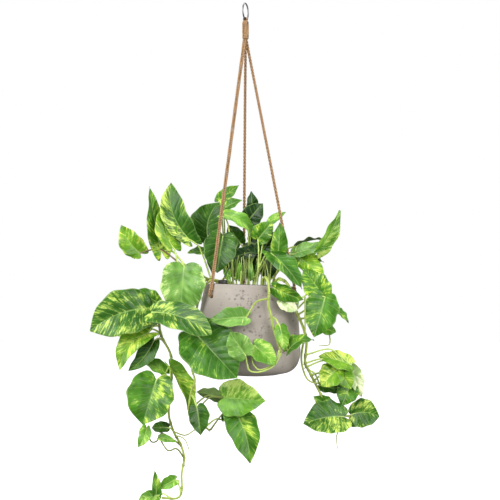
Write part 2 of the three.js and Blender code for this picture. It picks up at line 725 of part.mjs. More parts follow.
// The strap is folded over the bottom of the ring and sewn up along both edges, so that it is a flat
// sleeve round the cords. Its outline as seen from the edge is cut to a tongue with a narrow neck,
// as seen from the face, and to the rounded section of the sleeve, as seen from above.
function makeStrap() {
  const wire = -RING_INNER_RADIUS * 2 - RING_WIRE / 2;
  const fold = RING_WIRE / 2 + STRAP_FOLD;
  const inside = CORD_DIAMETER / 2 + GAP / 2;
  const thick = inside + STRAP_LEATHER;
  const half = CORD_SLOTS.right + thick;
  const shoulder = RIVET_HEIGHTS.upper - 2;
  const outline = new THREE.Shape();
  outline.moveTo(-thick, STRAP_BOTTOM);
  outline.lineTo(thick, STRAP_BOTTOM);
  outline.lineTo(thick, shoulder);
  outline.lineTo(fold + STRAP_LEATHER, wire);
  outline.absarc(0, wire, fold + STRAP_LEATHER, 0, Math.PI, false);
  outline.lineTo(-thick, shoulder);
  const options = { depth: 2 * half, bevelEnabled: false, curveSegments: 4 };
  const strap = new THREE.ExtrudeGeometry(outline, options).translate(0, 0, -half);
  const upright = new THREE.Matrix4().makeBasis(
    new THREE.Vector3(0, 1, 0),
    new THREE.Vector3(0, 0, 1),
    new THREE.Vector3(1, 0, 0),
  );
  const neck = STRAP_NECK / 2;
  const tongue = new THREE.Shape();
  const end = STRAP_BOTTOM - 1;
  tongue.moveTo(half - STRAP_CORNER.wide, end);
  tongue.lineTo(half, end + STRAP_CORNER.high);
  tongue.lineTo(half, shoulder);
  tongue.lineTo(neck, wire - 1);
  tongue.lineTo(neck, 0);
  tongue.lineTo(-neck, 0);
  tongue.lineTo(-neck, wire - 1);
  tongue.lineTo(-half, shoulder);
  tongue.lineTo(-half, end + STRAP_CORNER.high);
  tongue.lineTo(STRAP_CORNER.wide - half, end);
  const slab = new THREE.ExtrudeGeometry(tongue, { depth: 2 * half, bevelEnabled: false });
  slab.translate(0, 0, -half).rotateX(Math.PI / 2);
  const eye = new THREE.CylinderGeometry(fold, fold, 2 * half, 10);
  eye.rotateZ(Math.PI / 2).translate(0, 0, wire);
  let solid = solidOf(strap.applyMatrix4(upright)).intersect(solidOf(slab));
  solid = solid.intersect(solidOf(sleeve(thick, 0)));
  solid = solid.subtract(solidOf(sleeve(inside, POCKET_TOP))).subtract(solidOf(eye));
  Object.values(RIVET_HEIGHTS).forEach((height) => {
    solid = solid.subtract(pinHole(height));
  });
  return geometryOf(solid);
}

// An upright prism round the three cords, from below the strap up to a height, with round ends.
function sleeve(radius, top) {
  const section = new THREE.Shape();
  section.absarc(CORD_SLOTS.right, 0, radius, -Math.PI / 2, Math.PI / 2, false);
  section.absarc(CORD_SLOTS.left, 0, radius, Math.PI / 2, 1.5 * Math.PI, false);
  const depth = top - STRAP_BOTTOM + 2;
  const prism = new THREE.ExtrudeGeometry(section, { depth, bevelEnabled: false, curveSegments: 6 });
  return prism.translate(0, 0, STRAP_BOTTOM - 2);
}

function pinHole(height) {
  const radius = RIVET_PIN_RADIUS + GAP;
  const hole = new THREE.CylinderGeometry(radius, radius, 4 * CORD_SLOTS.right, 10);
  return solidOf(hole.translate(0, 0, height));
}

// A rivet is a pin with a low round head on each side of the strap.
function makeRivet() {
  const face = CORD_DIAMETER / 2 + GAP / 2 + STRAP_LEATHER + GAP;
  const head = RIVET_HEAD_HEIGHT;
  const profile = [
    [0, -face - head],
    [RIVET_HEAD_RADIUS * 0.7, -face - head],
    [RIVET_HEAD_RADIUS, -face],
    [RIVET_PIN_RADIUS, -face],
    [RIVET_PIN_RADIUS, face],
    [RIVET_HEAD_RADIUS, face],
    [RIVET_HEAD_RADIUS * 0.7, face + head],
    [0, face + head],
  ];
  const points = profile.map(([radius, along]) => new THREE.Vector2(radius, along));
  return new THREE.LatheGeometry(points, 8);
}

// The direction away from the planter's axis at an azimuth measured from the front.
function outward(azimuth) {
  const angle = THREE.MathUtils.degToRad(azimuth);
  return new THREE.Vector3(Math.sin(angle), -Math.cos(angle), 0);
}

// A doubled cord is knotted inside the wall, comes out through its hole, turns up past the rim
// and runs straight up between the layers of the strap.
function makeCord(azimuth, slot, planter, hanger) {
  const away = outward(azimuth);
  const near = (radius, z) => planter.localToWorld(away.clone().multiplyScalar(radius).setZ(z));
  const high = (z) => hanger.localToWorld(new THREE.Vector3(slot, 0, z));
  const knot = near(KNOT_AT_RADIUS, -CORD_HOLE_DEPTH);
  const rim = near(RIM_RADIUS + CORD_OFF_RIM, 1);
  const throat = high(STRAP_BOTTOM - 3);
  const path = new Route([
    knot,
    ...CORD_BENDS.map(([radius, up]) => near(radius, up - CORD_HOLE_DEPTH)),
    rim,
    rim.clone().lerp(throat, 0.33),
    rim.clone().lerp(throat, 0.67),
    throat,
    high(STRAP_BOTTOM + 8),
    high(CORD_END),
  ]);
  const leg = solidOf(tube(path, CORD_DIAMETER / 2, 8, 10));
  const ball = new THREE.IcosahedronGeometry(KNOT_RADIUS, 1).translate(knot.x, knot.y, knot.z);
  return leg.add(solidOf(ball)).asOriginal().simplify(SLIVER);
}

const PLANTER_OUTLINE = [
  [20, -PLANTER_HEIGHT],
  [60, -176],
  [85, -170],
  [98, -158],
  [103.5, -144],
  [BELLY_RADIUS, -130],
  [103, -100],
  [98.5, -60],
  [RIM_RADIUS, -1.5],
  [RIM_RADIUS - 1.5, 0],
];
const PLANTER_INSIDE = [
  [RIM_INNER_RADIUS + 1.5, 0],
  [RIM_INNER_RADIUS, -1.5],
  [83, -26],
  [92, -105],
  [93, -135],
  [84, -156],
  [70, PLANTER_FLOOR - PLANTER_HEIGHT],
];

function makePlanter() {
  const profile = [[0, -PLANTER_HEIGHT], ...PLANTER_OUTLINE, ...PLANTER_INSIDE];
  profile.push([0, PLANTER_FLOOR - PLANTER_HEIGHT]);
  let solid = solidOf(lathe(profile, PLANTER_SEGMENTS));
  Object.values(CORD_AZIMUTHS).forEach((azimuth) => {
    const away = outward(azimuth);
    const radius = CORD_HOLE_DIAMETER / 2;
    const drill = new THREE.CylinderGeometry(radius, radius, 4 * RIM_THICKNESS, 10);
    drill.applyQuaternion(new THREE.Quaternion().setFromUnitVectors(UP_Y, away));
    drill.translate(away.x * RIM_RADIUS, away.y * RIM_RADIUS, -CORD_HOLE_DEPTH);
    solid = solid.subtract(solidOf(drill));
  });
  return geometryOf(solid);
}

const NURSERY_BOTTOM = PLANTER_FLOOR - PLANTER_HEIGHT + GAP;

function makeNurseryPot() {
  const lip = NURSERY_TOP - LIP_HEIGHT;
  const profile = [
    [0, NURSERY_BOTTOM],
    [NURSERY_FOOT_RADIUS, NURSERY_BOTTOM],
    [NURSERY_WALL_RADIUS, lip],
    [NURSERY_LIP_RADIUS, lip + 1],
    [NURSERY_LIP_RADIUS, NURSERY_TOP],
    [NURSERY_LIP_RADIUS - NURSERY_WALL, NURSERY_TOP],
    [NURSERY_LIP_RADIUS - NURSERY_WALL, lip + 1 + NURSERY_WALL],
    [NURSERY_WALL_RADIUS - NURSERY_WALL, lip + NURSERY_WALL],
    [NURSERY_FOOT_RADIUS - NURSERY_WALL, NURSERY_BOTTOM + NURSERY_WALL],
    [0, NURSERY_BOTTOM + NURSERY_WALL],
  ];
  return lathe(profile, 28);
}

// The soil fills the nursery pot and is low in the middle of its edge. Each stem stands in a
// plain upright hole.
function makeSoil(planter) {
  const top = NURSERY_WALL_RADIUS - NURSERY_WALL - SOIL_CLEARANCE;
  const floor = NURSERY_BOTTOM + NURSERY_WALL + GAP;
  const profile = [
    [0, floor],
    [NURSERY_FOOT_RADIUS - NURSERY_WALL - SOIL_CLEARANCE, floor],
    [top, SOIL_EDGE - 2],
    [top - 3, SOIL_EDGE],
    [top * 0.6, SOIL_TOP - 1],
    [0, SOIL_TOP],
  ];
  let solid = solidOf(lathe(profile, 20));
  const depth = ROOT_DEPTH + HOLE_BOTTOM + 20;
  const toPlanter = planter.matrixWorld.clone().invert().multiply(plantPlace.matrixWorld);
  VINES.forEach((vine) => {
    const root = seen(vine.stem[0]);
    const radius = (vine.radius + 2 * GAP) / Math.cos(Math.PI / 6);
    const hole = new THREE.CylinderGeometry(radius, radius, depth, 6).rotateX(Math.PI / 2);
    hole.translate(root.x, root.y, depth / 2 - ROOT_DEPTH - HOLE_BOTTOM);
    solid = solid.subtract(solidOf(hole.applyMatrix4(toPlanter)));
  });
  return geometryOf(solid.asOriginal().simplify(SLIVER));
}

// The clip of the nursery pot's cut-off hanger straddles the lip, with a stub of wire.
function makeClip() {
  const wall = 1.6;
  const bulge = 1.2; // the lip curves away from the straight clip
  const inner = NURSERY_LIP_RADIUS - NURSERY_WALL - bulge - GAP;
  const outer = NURSERY_LIP_RADIUS + GAP;
  const outline = new THREE.Shape();
  outline.moveTo(inner - wall, -4);
  outline.lineTo(inner, -4);
  outline.lineTo(inner, NURSERY_TOP + GAP);
  outline.lineTo(outer, NURSERY_TOP + GAP);
  outline.lineTo(outer, -3);
  outline.lineTo(outer + wall, -3);
  outline.lineTo(outer + wall, CLIP_TOP - 1.5);
  outline.lineTo(outer, CLIP_TOP);
  outline.lineTo(inner - wall, CLIP_TOP);
  const flat = new THREE.ExtrudeGeometry(outline, { depth: CLIP_WIDTH, bevelEnabled: false });
  flat.translate(0, 0, -CLIP_WIDTH / 2).rotateX(Math.PI / 2);
  const foot = new THREE.Vector3(inner, 0, CLIP_TOP - 3);
  const bend = new THREE.Vector3(inner - 3, 0, CLIP_TOP + 8);
  const end = new THREE.Vector3(inner - 12, 4, CLIP_TOP + 26);
  const wire = tube(new THREE.CatmullRomCurve3([foot, bend, end]), 1, 5, 5);
  return geometryOf(solidOf(flat).add(solidOf(wire)));
}

// The assembly
const group = new THREE.Group();

const hanger = new THREE.Group();
hanger.rotation.z = RING_TURN;
group.add(hanger);

const planter = new THREE.Group();
planter.position.set(PLANTER_SHIFT, 0, -RIM_DROP);
planter.rotation.y = PLANTER_TILT;
group.add(planter);

const plantPlace = new THREE.Group();
plantPlace.position.copy(planter.position);
group.add(plantPlace);
group.updateMatrixWorld(true);

hanger.add(piece("hanging_ring", makeRing(), FINISHES.metal));
hanger.add(piece("leather_strap", makeStrap(), FINISHES.leather));
Object.entries(RIVET_HEIGHTS).forEach(([where, height]) => {
  const rivet = piece(`rivet_${where}`, makeRivet(), FINISHES.metal);
  rivet.position.z = height;
  hanger.add(rivet);
});

Object.entries(CORD_AZIMUTHS).forEach(([where, azimuth]) => {
  const slot = CORD_SLOTS[where];
  let cord = makeCord(azimuth, slot, planter, hanger);
  if (slot === 0) {
    const turned = geometryOf(pinHole(RIVET_HEIGHTS.lower)).applyMatrix4(hanger.matrixWorld);
    cord = cord.subtract(solidOf(turned));
  }
  group.add(piece(`cord_${where}`, geometryOf(cord), FINISHES.cord));
});

planter.add(piece("cement_planter", makePlanter(), FINISHES.cement));
planter.add(piece("nursery_pot", makeNurseryPot(), FINISHES.plastic));
planter.add(piece("potting_soil", makeSoil(planter), FINISHES.soil));
const clip = piece("hanger_clip", makeClip(), FINISHES.plastic);
clip.rotation.z = THREE.MathUtils.degToRad(CLIP_AZIMUTH - 90);
planter.add(clip);

VINES.forEach((vine) => {
  plantPlace.add(piece(vine.name, geometryOf(vineSolid(vine)), FINISHES.foliage));
});

export default group;
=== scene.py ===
"""The looks of a golden pothos in a black nursery pot, set in a cement planter that hangs from a ring.

Sizes are named in millimetres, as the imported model's source names them, and become metres when a mesh
is made.
"""

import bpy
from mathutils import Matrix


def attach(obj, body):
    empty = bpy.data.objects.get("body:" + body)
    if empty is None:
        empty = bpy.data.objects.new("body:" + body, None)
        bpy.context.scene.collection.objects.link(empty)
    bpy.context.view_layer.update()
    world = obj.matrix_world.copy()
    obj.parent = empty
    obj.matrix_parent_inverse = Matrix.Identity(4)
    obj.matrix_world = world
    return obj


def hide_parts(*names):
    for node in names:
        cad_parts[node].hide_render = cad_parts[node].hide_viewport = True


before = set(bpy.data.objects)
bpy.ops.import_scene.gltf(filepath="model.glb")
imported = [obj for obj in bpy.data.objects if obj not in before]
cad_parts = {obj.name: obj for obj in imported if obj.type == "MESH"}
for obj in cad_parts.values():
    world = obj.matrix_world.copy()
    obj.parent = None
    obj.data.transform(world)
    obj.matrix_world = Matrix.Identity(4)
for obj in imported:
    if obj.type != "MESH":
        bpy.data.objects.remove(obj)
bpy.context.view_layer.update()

import logging
import math
from dataclasses import dataclass
from enum import Enum
from typing import Sequence

import bpy
import mathutils
import numpy as np

Array = np.ndarray
Point = tuple[float, float, float]
Color = tuple[float, float, float]
Range = tuple[float, float]
Corners = tuple[tuple[float, float], ...]
Values = dict[str, Array | float | Color]
Material = bpy.types.Material
Piece = bpy.types.Object
Socket = bpy.types.NodeSocket

LOG = logging.getLogger("pothos")
MM = 0.001
EYE_DISTANCE = 2400.0  # from the planter's axis to the camera
RIM_DROP = 565.0  # from the hang point down to the middle of the rim
PLANTER_SHIFT = 9.0  # the planter hangs this far to the right of the ring
PLANTER_TILT = math.radians(2.0)


def unit(vectors: Array) -> Array:
    """Vectors along the last axis, scaled to a length of 1."""
    return vectors / np.linalg.norm(vectors, axis=-1, keepdims=True)


def seen(points: Sequence[Point] | Array) -> Array:
    """Carries points along the line of sight from the axis plane to their own depth.

    A point's x and z, as it shows on the plane of the planter's axis, grow with its distance from the eye:
    by (eye distance + y) / eye distance. The middle of the rim becomes the place of the planter.

    Args:
        points: Places in millimetres from the middle of the rim, as they show from the front.

    Returns:
        Places in millimetres in the frame of the model.
    """
    flat = np.asarray(points, float)
    reach = (EYE_DISTANCE + flat[..., 1:2]) / EYE_DISTANCE
    grown = flat * np.concatenate([reach, np.ones_like(reach), reach], axis=-1)
    return grown + np.array([PLANTER_SHIFT, 0.0, -RIM_DROP])


def in_planter(points: Array) -> Array:
    """Turns points of the upright planter, about the middle of its rim, into the model's frame.

    Args:
        points: Places in millimetres, z up along the planter's own axis.

    Returns:
        The same places turned by the planter's tilt about Y and moved to where it hangs.
    """
    cosine, sine = math.cos(PLANTER_TILT), math.sin(PLANTER_TILT)
    x, y, z = points[..., 0], points[..., 1], points[..., 2]
    turned = np.stack([x * cosine + z * sine, y, z * cosine - x * sine], axis=-1)
    return turned + np.array([PLANTER_SHIFT, 0.0, -RIM_DROP])


def unevenness(points: Array, size: float, seed: int) -> Array:
    """Soft random lumps, the same on every run.

    A cube of random numbers stands at the corners of a lattice, and each point takes the smooth
    in-between value of the eight corners round it.

    Args:
        points: Places in millimetres.
        size: The distance between lumps in millimetres.
        seed: Starts the random draw.

    Returns:
        One value from -1 to 1 for each point.
    """
    side = 32  # corners of the lattice along each axis
    lattice = np.random.default_rng(seed).uniform(-1, 1, (side, side, side))
    place = points / size
    cell = np.floor(place).astype(int)
    share = place - cell
    share = share * share * (3 - 2 * share)
    total = np.zeros(points.shape[:-1])
    for corner in range(8):
        offset = np.array([corner & 1, (corner >> 1) & 1, corner >> 2])
        index = (cell + offset) % side
        weight = np.prod(np.where(offset == 1, share, 1 - share), axis=-1)
        total += weight * lattice[index[..., 0], index[..., 1], index[..., 2]]
    return total


class Route:
    """A smooth line through given points, stepped evenly between each point and the next.

    Between two points the line is a cubic that leaves each in the direction between its neighbours.
    """

    STEPS = 40  # taken between two points to measure the line

    def __init__(self, points: Sequence[Point] | Array) -> None:
        """Keeps the points, with one more past each end in line with the last two."""
        inner = np.asarray(points, float)
        first, last = 2 * inner[0] - inner[1], 2 * inner[-1] - inner[-2]
        self.points = np.vstack([first, inner, last])
        self.spans = len(inner) - 1

    def at(self, share: Array | float) -> Array:
        """The places at shares of the way, from 0 to 1."""
        along = np.clip(np.asarray(share, float), 0, 1) * self.spans
        span = np.minimum(along.astype(int), self.spans - 1)
        t = (along - span)[..., None]
        before, start, end, after = (self.points[span + i] for i in range(4))
        leave, arrive = 0.5 * (end - before), 0.5 * (after - start)
        bend = 3 * (end - start) - 2 * leave - arrive
        twist = 2 * (start - end) + leave + arrive
        return start + t * (leave + t * (bend + t * twist))

    def even(self, spacing: float) -> tuple[Array, Array]:
        """Places evenly spaced along the line.

        Args:
            spacing: The wanted distance between places, in millimetres.

        Returns:
            The places, and the share of the way at each.
        """
        share = np.linspace(0, 1, self.STEPS * self.spans + 1)
        run = self.length_at(share)
        count = max(int(round(run[-1] / spacing)), 3) + 1
        even = np.interp(np.linspace(0, run[-1], count), run, share)
        return self.at(even), even

    def length_at(self, share: Array) -> Array:
        """The distance along the line to each of a rising row of shares."""
        steps = np.linalg.norm(np.diff(self.at(share), axis=0), axis=1)
        return np.concatenate([[0.0], np.cumsum(steps)])


def side_vectors(line: Array) -> tuple[Array, Array]:
    """Two directions square to a line at each of its places, carried along it without turning about it.

    At each place the last side vector loses its part along the new direction of the line.

    Args:
        line: Places along a line.

    Returns:
        The first side vectors, and the second ones, square to the first.
    """
    forward = unit(np.gradient(line, axis=0))
    least = np.eye(3)[np.argmin(np.abs(forward[0]))]
    side = np.empty_like(forward)
    side[0] = unit(np.cross(forward[0], least))
    for i in range(1, len(line)):
        side[i] = unit(side[i - 1] - forward[i] * (side[i - 1] @ forward[i]))
    return side, np.cross(forward, side)


def swept(line: Array, radius: Array, sides: int) -> Array:
    """A round section carried along a line.

    The point at angle a is the line's place, plus the first side vector times radius times cos a, plus
    the second times radius times sin a.

    Args:
        line: Places along the line.
        radius: The radius at each place.
        sides: How many points go round.

    Returns:
        A grid with a row for each place and a column for each side.
    """
    first, second = side_vectors(line)
    angle = np.linspace(0, 2 * math.pi, sides, endpoint=False)
    cosine, sine = (np.outer(radius, wave(angle))[..., None] for wave in (np.cos, np.sin))
    return line[:, None] + cosine * first[:, None] + sine * second[:, None]


def round_ends(share: Array, reach: float) -> Array:
    """A factor from 0 to 1 that rounds both ends of a tube, over a reach given as a share of its length."""
    near = np.clip(np.minimum(share, 1 - share) / reach, 0, 1)
    return np.sqrt(1 - (1 - near) ** 2)


def turned(profile: Array, segments: int) -> Array:
    """A profile of radius and height turned about Z.

    Args:
        profile: Rows of radius and height.
        segments: How many columns go round.

    Returns:
        A grid with a row for each point of the profile, whose columns run round the axis.
    """
    angle = np.linspace(0, 2 * math.pi, segments, endpoint=False)
    radius, height = profile[:, :1], profile[:, 1:]
    return np.stack([radius * np.cos(angle), radius * np.sin(angle), height + 0 * angle], axis=-1)


def smooth_profile(corners: Corners, spacing: float) -> Array:
    """A profile through corners: the smooth route through them, with places evenly spaced.

    Args:
        corners: Radius and height of each corner.
        spacing: The distance between places in millimetres.

    Returns:
        Rows of radius and height.
    """
    flat = [(radius, height, 0.0) for radius, height in corners]
    places, _ = Route(flat).even(spacing)
    return np.stack([np.maximum(places[:, 0], 0.0), places[:, 1]], axis=1)


class Skin:
    """Grids of points gathered into one closed mesh, with their map and their values.

    Values are kept for each vertex under a name, and a material reads them as attributes.
    """

    def __init__(self) -> None:
        """Starts with no points."""
        self.points: list[Array] = []
        self.corners: list[Array] = []
        self.sizes: list[Array] = []
        self.map: list[Array] = []
        self.values: dict[str, list[Array]] = {}
        self.count = 0

    def add_points(self, points: Array, values: Values) -> int:
        """Adds points with their values.

        Args:
            points: Any array of places in millimetres.
            values: For each name a number, a colour, or an array that matches the points.

        Returns:
            The index of the first new vertex.
        """
        flat = points.reshape(-1, 3)
        for name, value in values.items():
            wide = 3 if np.asarray(value).shape[-1:] == (3,) else 1
            full = np.broadcast_to(value, (*points.shape[:-1], 3) if wide == 3 else points.shape[:-1])
            self.values.setdefault(name, []).append(full.reshape(len(flat), -1))
        self.points.append(flat)
        self.count += len(flat)
        return self.count - len(flat)

    def add_faces(self, faces: Array, places: Array | None = None) -> None:
        """Adds faces of one size.

        Args:
            faces: Vertex indices, one row for each face.
            places: The map's place of each corner, or nothing for a map of zeros.
        """
        self.corners.append(faces.reshape(-1))
        self.sizes.append(np.full(len(faces), faces.shape[1]))
        if places is None:
            places = np.zeros((faces.size, 2))
        self.map.append(places.reshape(-1, 2))

    def add_grid(
        self, grid: Array, values: Values | None = None, around: bool = False, length: float = 1.0,
        flip: bool = False,
    ) -> int:
        """Adds a grid of quads. Its faces look out when columns run anticlockwise about the rows' way.

        Args:
            grid: Places in rows and columns.
            values: Values for each vertex, as add_points takes them.
            around: Whether the last column joins the first.
            length: The map's size along the rows' way. Across it the size is 1.
            flip: Whether the faces are turned round.

        Returns:
            The index of the first new vertex.
        """
        rows, columns = grid.shape[:2]
        start = self.add_points(grid, values or {})
        wide = columns if around else columns - 1
        row, column = np.meshgrid(np.arange(rows - 1), np.arange(wide), indexing="ij")
        here, beside = row * columns + column, row * columns + (column + 1) % columns
        quads = np.stack([here, beside, beside + columns, here + columns], axis=-1).reshape(-1, 4)
        across = np.stack([column, column + 1, column + 1, column], axis=-1) / wide
        along = np.stack([row, row, row + 1, row + 1], axis=-1) / (rows - 1) * length
        places = np.stack([across, along], axis=-1).reshape(-1, 4, 2)
        if flip:
            quads, places = quads[:, ::-1], places[:, ::-1]
        self.add_faces(start + quads, places)
        return start

    def add_solid(
        self, grid: Array, values: Values | None = None, length: float = 1.0, flip: bool = False
    ) -> None:
        """Adds a grid, as add_grid does, whose columns run all the way round and whose ends are closed."""
        start = self.add_grid(grid, values, around=True, length=length, flip=flip)
        for at, turn in ((0, not flip), (len(grid) - 1, flip)):
            self.close_row(grid[at], start + at * grid.shape[1], values or {}, at, turn)

    def close_row(self, ring: Array, start: int, values: Values, at: int, turn: bool) -> None:
        """Closes a ring of vertices with a fan to its middle.

        Args:
            ring: The ring's places.
            start: The index of its first vertex.
            values: The values of the grid that the ring is a row of.
            at: Which row it is.
            turn: Whether the fan runs the other way round.
        """
        middle_values = {}
        for name, value in values.items():
            array = np.asarray(value, float)
            middle_values[name] = array[at].mean(axis=0) if array.ndim >= 2 else value
        middle = self.add_points(ring.mean(axis=0)[None], middle_values)
        here = start + np.arange(len(ring))
        beside = np.roll(here, -1)
        order = (beside, here) if turn else (here, beside)
        self.add_faces(np.stack([*order, np.full(len(ring), middle)], axis=1))

    def add_tube(
        self, line: Array, radius: Array, sides: int, values: Values | None = None, length: float = 1.0
    ) -> None:
        """Adds a closed tube, swept along a line. Its values may be columns, with one for each place."""
        self.add_solid(swept(line, radius, sides), values, length)

    def add_shell(self, upper: Array, lower: Array, values: Values) -> None:
        """Adds a thin closed sheet: an upper grid, a lower one alike, and a rim between their margins.

        Args:
            upper: Places of the upper face in rows and columns.
            lower: Places of the lower face.
            values: Values for the vertices of both faces, with the name under set by this method.
        """
        rows, columns = upper.shape[:2]
        top = self.add_grid(upper, {**values, "under": 0.0})
        bottom = self.add_grid(lower, {**values, "under": 1.0}, flip=True)
        index = np.arange(rows * columns).reshape(rows, columns)
        margin = np.concatenate([index[0, :-1], index[:-1, -1], index[-1, :0:-1], index[:0:-1, 0]])
        after = np.roll(margin, -1)
        self.add_faces(np.stack([top + after, top + margin, bottom + margin, bottom + after], axis=1))

    def build(self, name: str, material: Material) -> Piece:
        """Makes the object, in metres, at the origin.

        Args:
            name: The piece's name.
            material: Its finish.

        Returns:
            The new object, smooth shaded and linked to the scene.
        """
        mesh = bpy.data.meshes.new(name)
        points, corners, sizes = (np.concatenate(part) for part in (self.points, self.corners, self.sizes))
        mesh.vertices.add(len(points))
        mesh.vertices.foreach_set("co", (points * MM).astype(np.float32).ravel())
        mesh.loops.add(len(corners))
        mesh.loops.foreach_set("vertex_index", corners.astype(np.int32))
        mesh.polygons.add(len(sizes))
        starts = np.concatenate([[0], np.cumsum(sizes)[:-1]])
        mesh.polygons.foreach_set("loop_start", starts.astype(np.int32))
        mesh.polygons.foreach_set("loop_total", sizes.astype(np.int32))
        mesh.polygons.foreach_set("use_smooth", np.ones(len(sizes), bool))
        layer = mesh.uv_layers.new(name="surface")
        layer.data.foreach_set("uv", np.concatenate(self.map).astype(np.float32).ravel())
        for label, parts in self.values.items():
            data = np.concatenate(parts).astype(np.float32)
            kind, key = ("FLOAT_VECTOR", "vector") if data.shape[1] == 3 else ("FLOAT", "value")
            mesh.attributes.new(label, kind, "POINT").data.foreach_set(key, data.ravel())
        mesh.update(calc_edges=True)
        mesh.validate()
        mesh.materials.append(material)
        made = bpy.data.objects.new(name, mesh)
        bpy.context.scene.collection.objects.link(made)
        return made


def place(piece: Piece, slot: str, *nodes: str) -> None:
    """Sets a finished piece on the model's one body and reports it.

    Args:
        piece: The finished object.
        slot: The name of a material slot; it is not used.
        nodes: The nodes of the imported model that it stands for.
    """
    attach(piece, "root")
    if nodes:
        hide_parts(*nodes)
    LOG.info("%s: %d faces", piece.name, len(piece.data.polygons))


class Shader:
    """A material under construction, whose nodes end in one Principled surface."""

    MIX_INPUTS = (0, 6, 7)  # the sockets of a colour mix: its share, the first colour and the second
    MIX_RESULT = 2

    def __init__(self, name: str, **surface: float | Color) -> None:
        """Starts a material and sets the numbers that are the same all over its surface.

        Args:
            name: The material's name.
            surface: Values of the surface's sockets, with underscores for the spaces in their names.
        """
        self.material = bpy.data.materials.new(name)
        self.material.use_nodes = True
        self.tree = self.material.node_tree
        self.tree.nodes.clear()
        self.surface = self.tree.nodes.new("ShaderNodeBsdfPrincipled")
        output = self.tree.nodes.new("ShaderNodeOutputMaterial")
        self.tree.links.new(self.surface.outputs["BSDF"], output.inputs["Surface"])
        for label, value in surface.items():
            self.set(self.surface.inputs[label.replace("_", " ")], value)

    def set(self, socket: Socket, value: object) -> None:
        """Links a socket to another, or sets its number or colour."""
        if isinstance(value, bpy.types.NodeSocket):
            self.tree.links.new(value, socket)
        elif isinstance(value, tuple) and len(value) == 3 and socket.type == "RGBA":
            socket.default_value = (*value, 1.0)
        else:
            socket.default_value = value

    def node(self, kind: str, inputs: dict[int | str, object], **settings: object) -> bpy.types.Node:
        """Adds a node.

        Args:
            kind: The node's type without its prefix.
            inputs: What goes into its sockets, by name or number.
            settings: The node's own settings.

        Returns:
            The new node.
        """
        made = self.tree.nodes.new("ShaderNode" + kind)
        for label, value in settings.items():
            setattr(made, label, value)
        for label, value in inputs.items():
            self.set(made.inputs[label], value)
        return made

    def value(self, name: str) -> Socket:
        """A number kept for each vertex."""
        return self.node("Attribute", {}, attribute_name=name).outputs["Fac"]

    def color(self, name: str) -> Socket:
        """A colour kept for each vertex."""
        return self.node("Attribute", {}, attribute_name=name).outputs["Vector"]

    def place(self) -> Socket:
        """The place on the object, in metres."""
        return self.node("TexCoord", {}).outputs["Object"]

    def map(self) -> Socket:
        """The place on the piece's own map."""
        return self.node("UVMap", {}, uv_map="surface").outputs["UV"]

    def stretched(self, vector: Socket, scale: Point, move: Point = (0, 0, 0)) -> Socket:
        """A place scaled along each axis, then moved."""
        return self.node("Mapping", {"Vector": vector, "Scale": scale, "Location": move}).outputs["Vector"]

    def joined(self, x: Socket, y: Socket) -> Socket:
        """A vector put together from two numbers."""
        return self.node("CombineXYZ", {0: x, 1: y}).outputs[0]

    def math(self, operation: str, first: object, second: object) -> Socket:
        """The result of two numbers."""
        return self.node("Math", {0: first, 1: second}, operation=operation).outputs[0]

    def plus(self, first: object, second: object) -> Socket:
        """The sum of two numbers."""
        return self.math("ADD", first, second)

    def times(self, first: object, second: object) -> Socket:
        """The product of two numbers."""
        return self.math("MULTIPLY", first, second)

    def noise(
        self, vector: Socket, scale: float = 1.0, detail: float = 3.0, roughness: float = 0.5,
        distortion: float = 0.0,
    ) -> Socket:
        """Cloudy noise from 0 to 1."""
        labels = ("Vector", "Scale", "Detail", "Roughness", "Distortion")
        inputs = dict(zip(labels, (vector, scale, detail, roughness, distortion)))
        return self.node("TexNoise", inputs).outputs[0]

    def cells(self, vector: Socket, scale: float, feature: str = "F1") -> Socket:
        """The distance to the nearest of many scattered points, or to the edge between two of them."""
        made = self.node("TexVoronoi", {"Vector": vector, "Scale": scale}, feature=feature)
        return made.outputs["Distance"]

    def between(self, value: object, ends: Range, results: Range = (0.0, 1.0)) -> Socket:
        """A number carried smoothly from one range to another."""
        labels = ("Value", "From Min", "From Max", "To Min", "To Max")
        inputs = dict(zip(labels, (value, *ends, *results)))
        return self.node("MapRange", inputs, interpolation_type="SMOOTHSTEP").outputs[0]

    def mix(self, share: object, first: object, second: object, blend: str = "MIX") -> Socket:
        """Two colours mixed by a share."""
        made = self.tree.nodes.new("ShaderNodeMix")
        made.data_type, made.blend_type = "RGBA", blend
        for index, value in zip(self.MIX_INPUTS, (share, first, second)):
            self.set(made.inputs[index], value)
        return made.outputs[self.MIX_RESULT]

    def relief(self, height: Socket, distance: float, strength: float) -> Socket:
        """Fine relief from a height: how deep it is in metres, and how strongly it shows."""
        return self.node("Bump", {"Height": height, "Distance": distance, "Strength": strength}).outputs[0]

    def finish(self, color: object = None, roughness: object = None, normal: object = None) -> Material:
        """Links what varies over the surface and returns the material."""
        for label, value in (("Base Color", color), ("Roughness", roughness), ("Normal", normal)):
            if value is not None:
                self.set(self.surface.inputs[label], value)
        return self.material


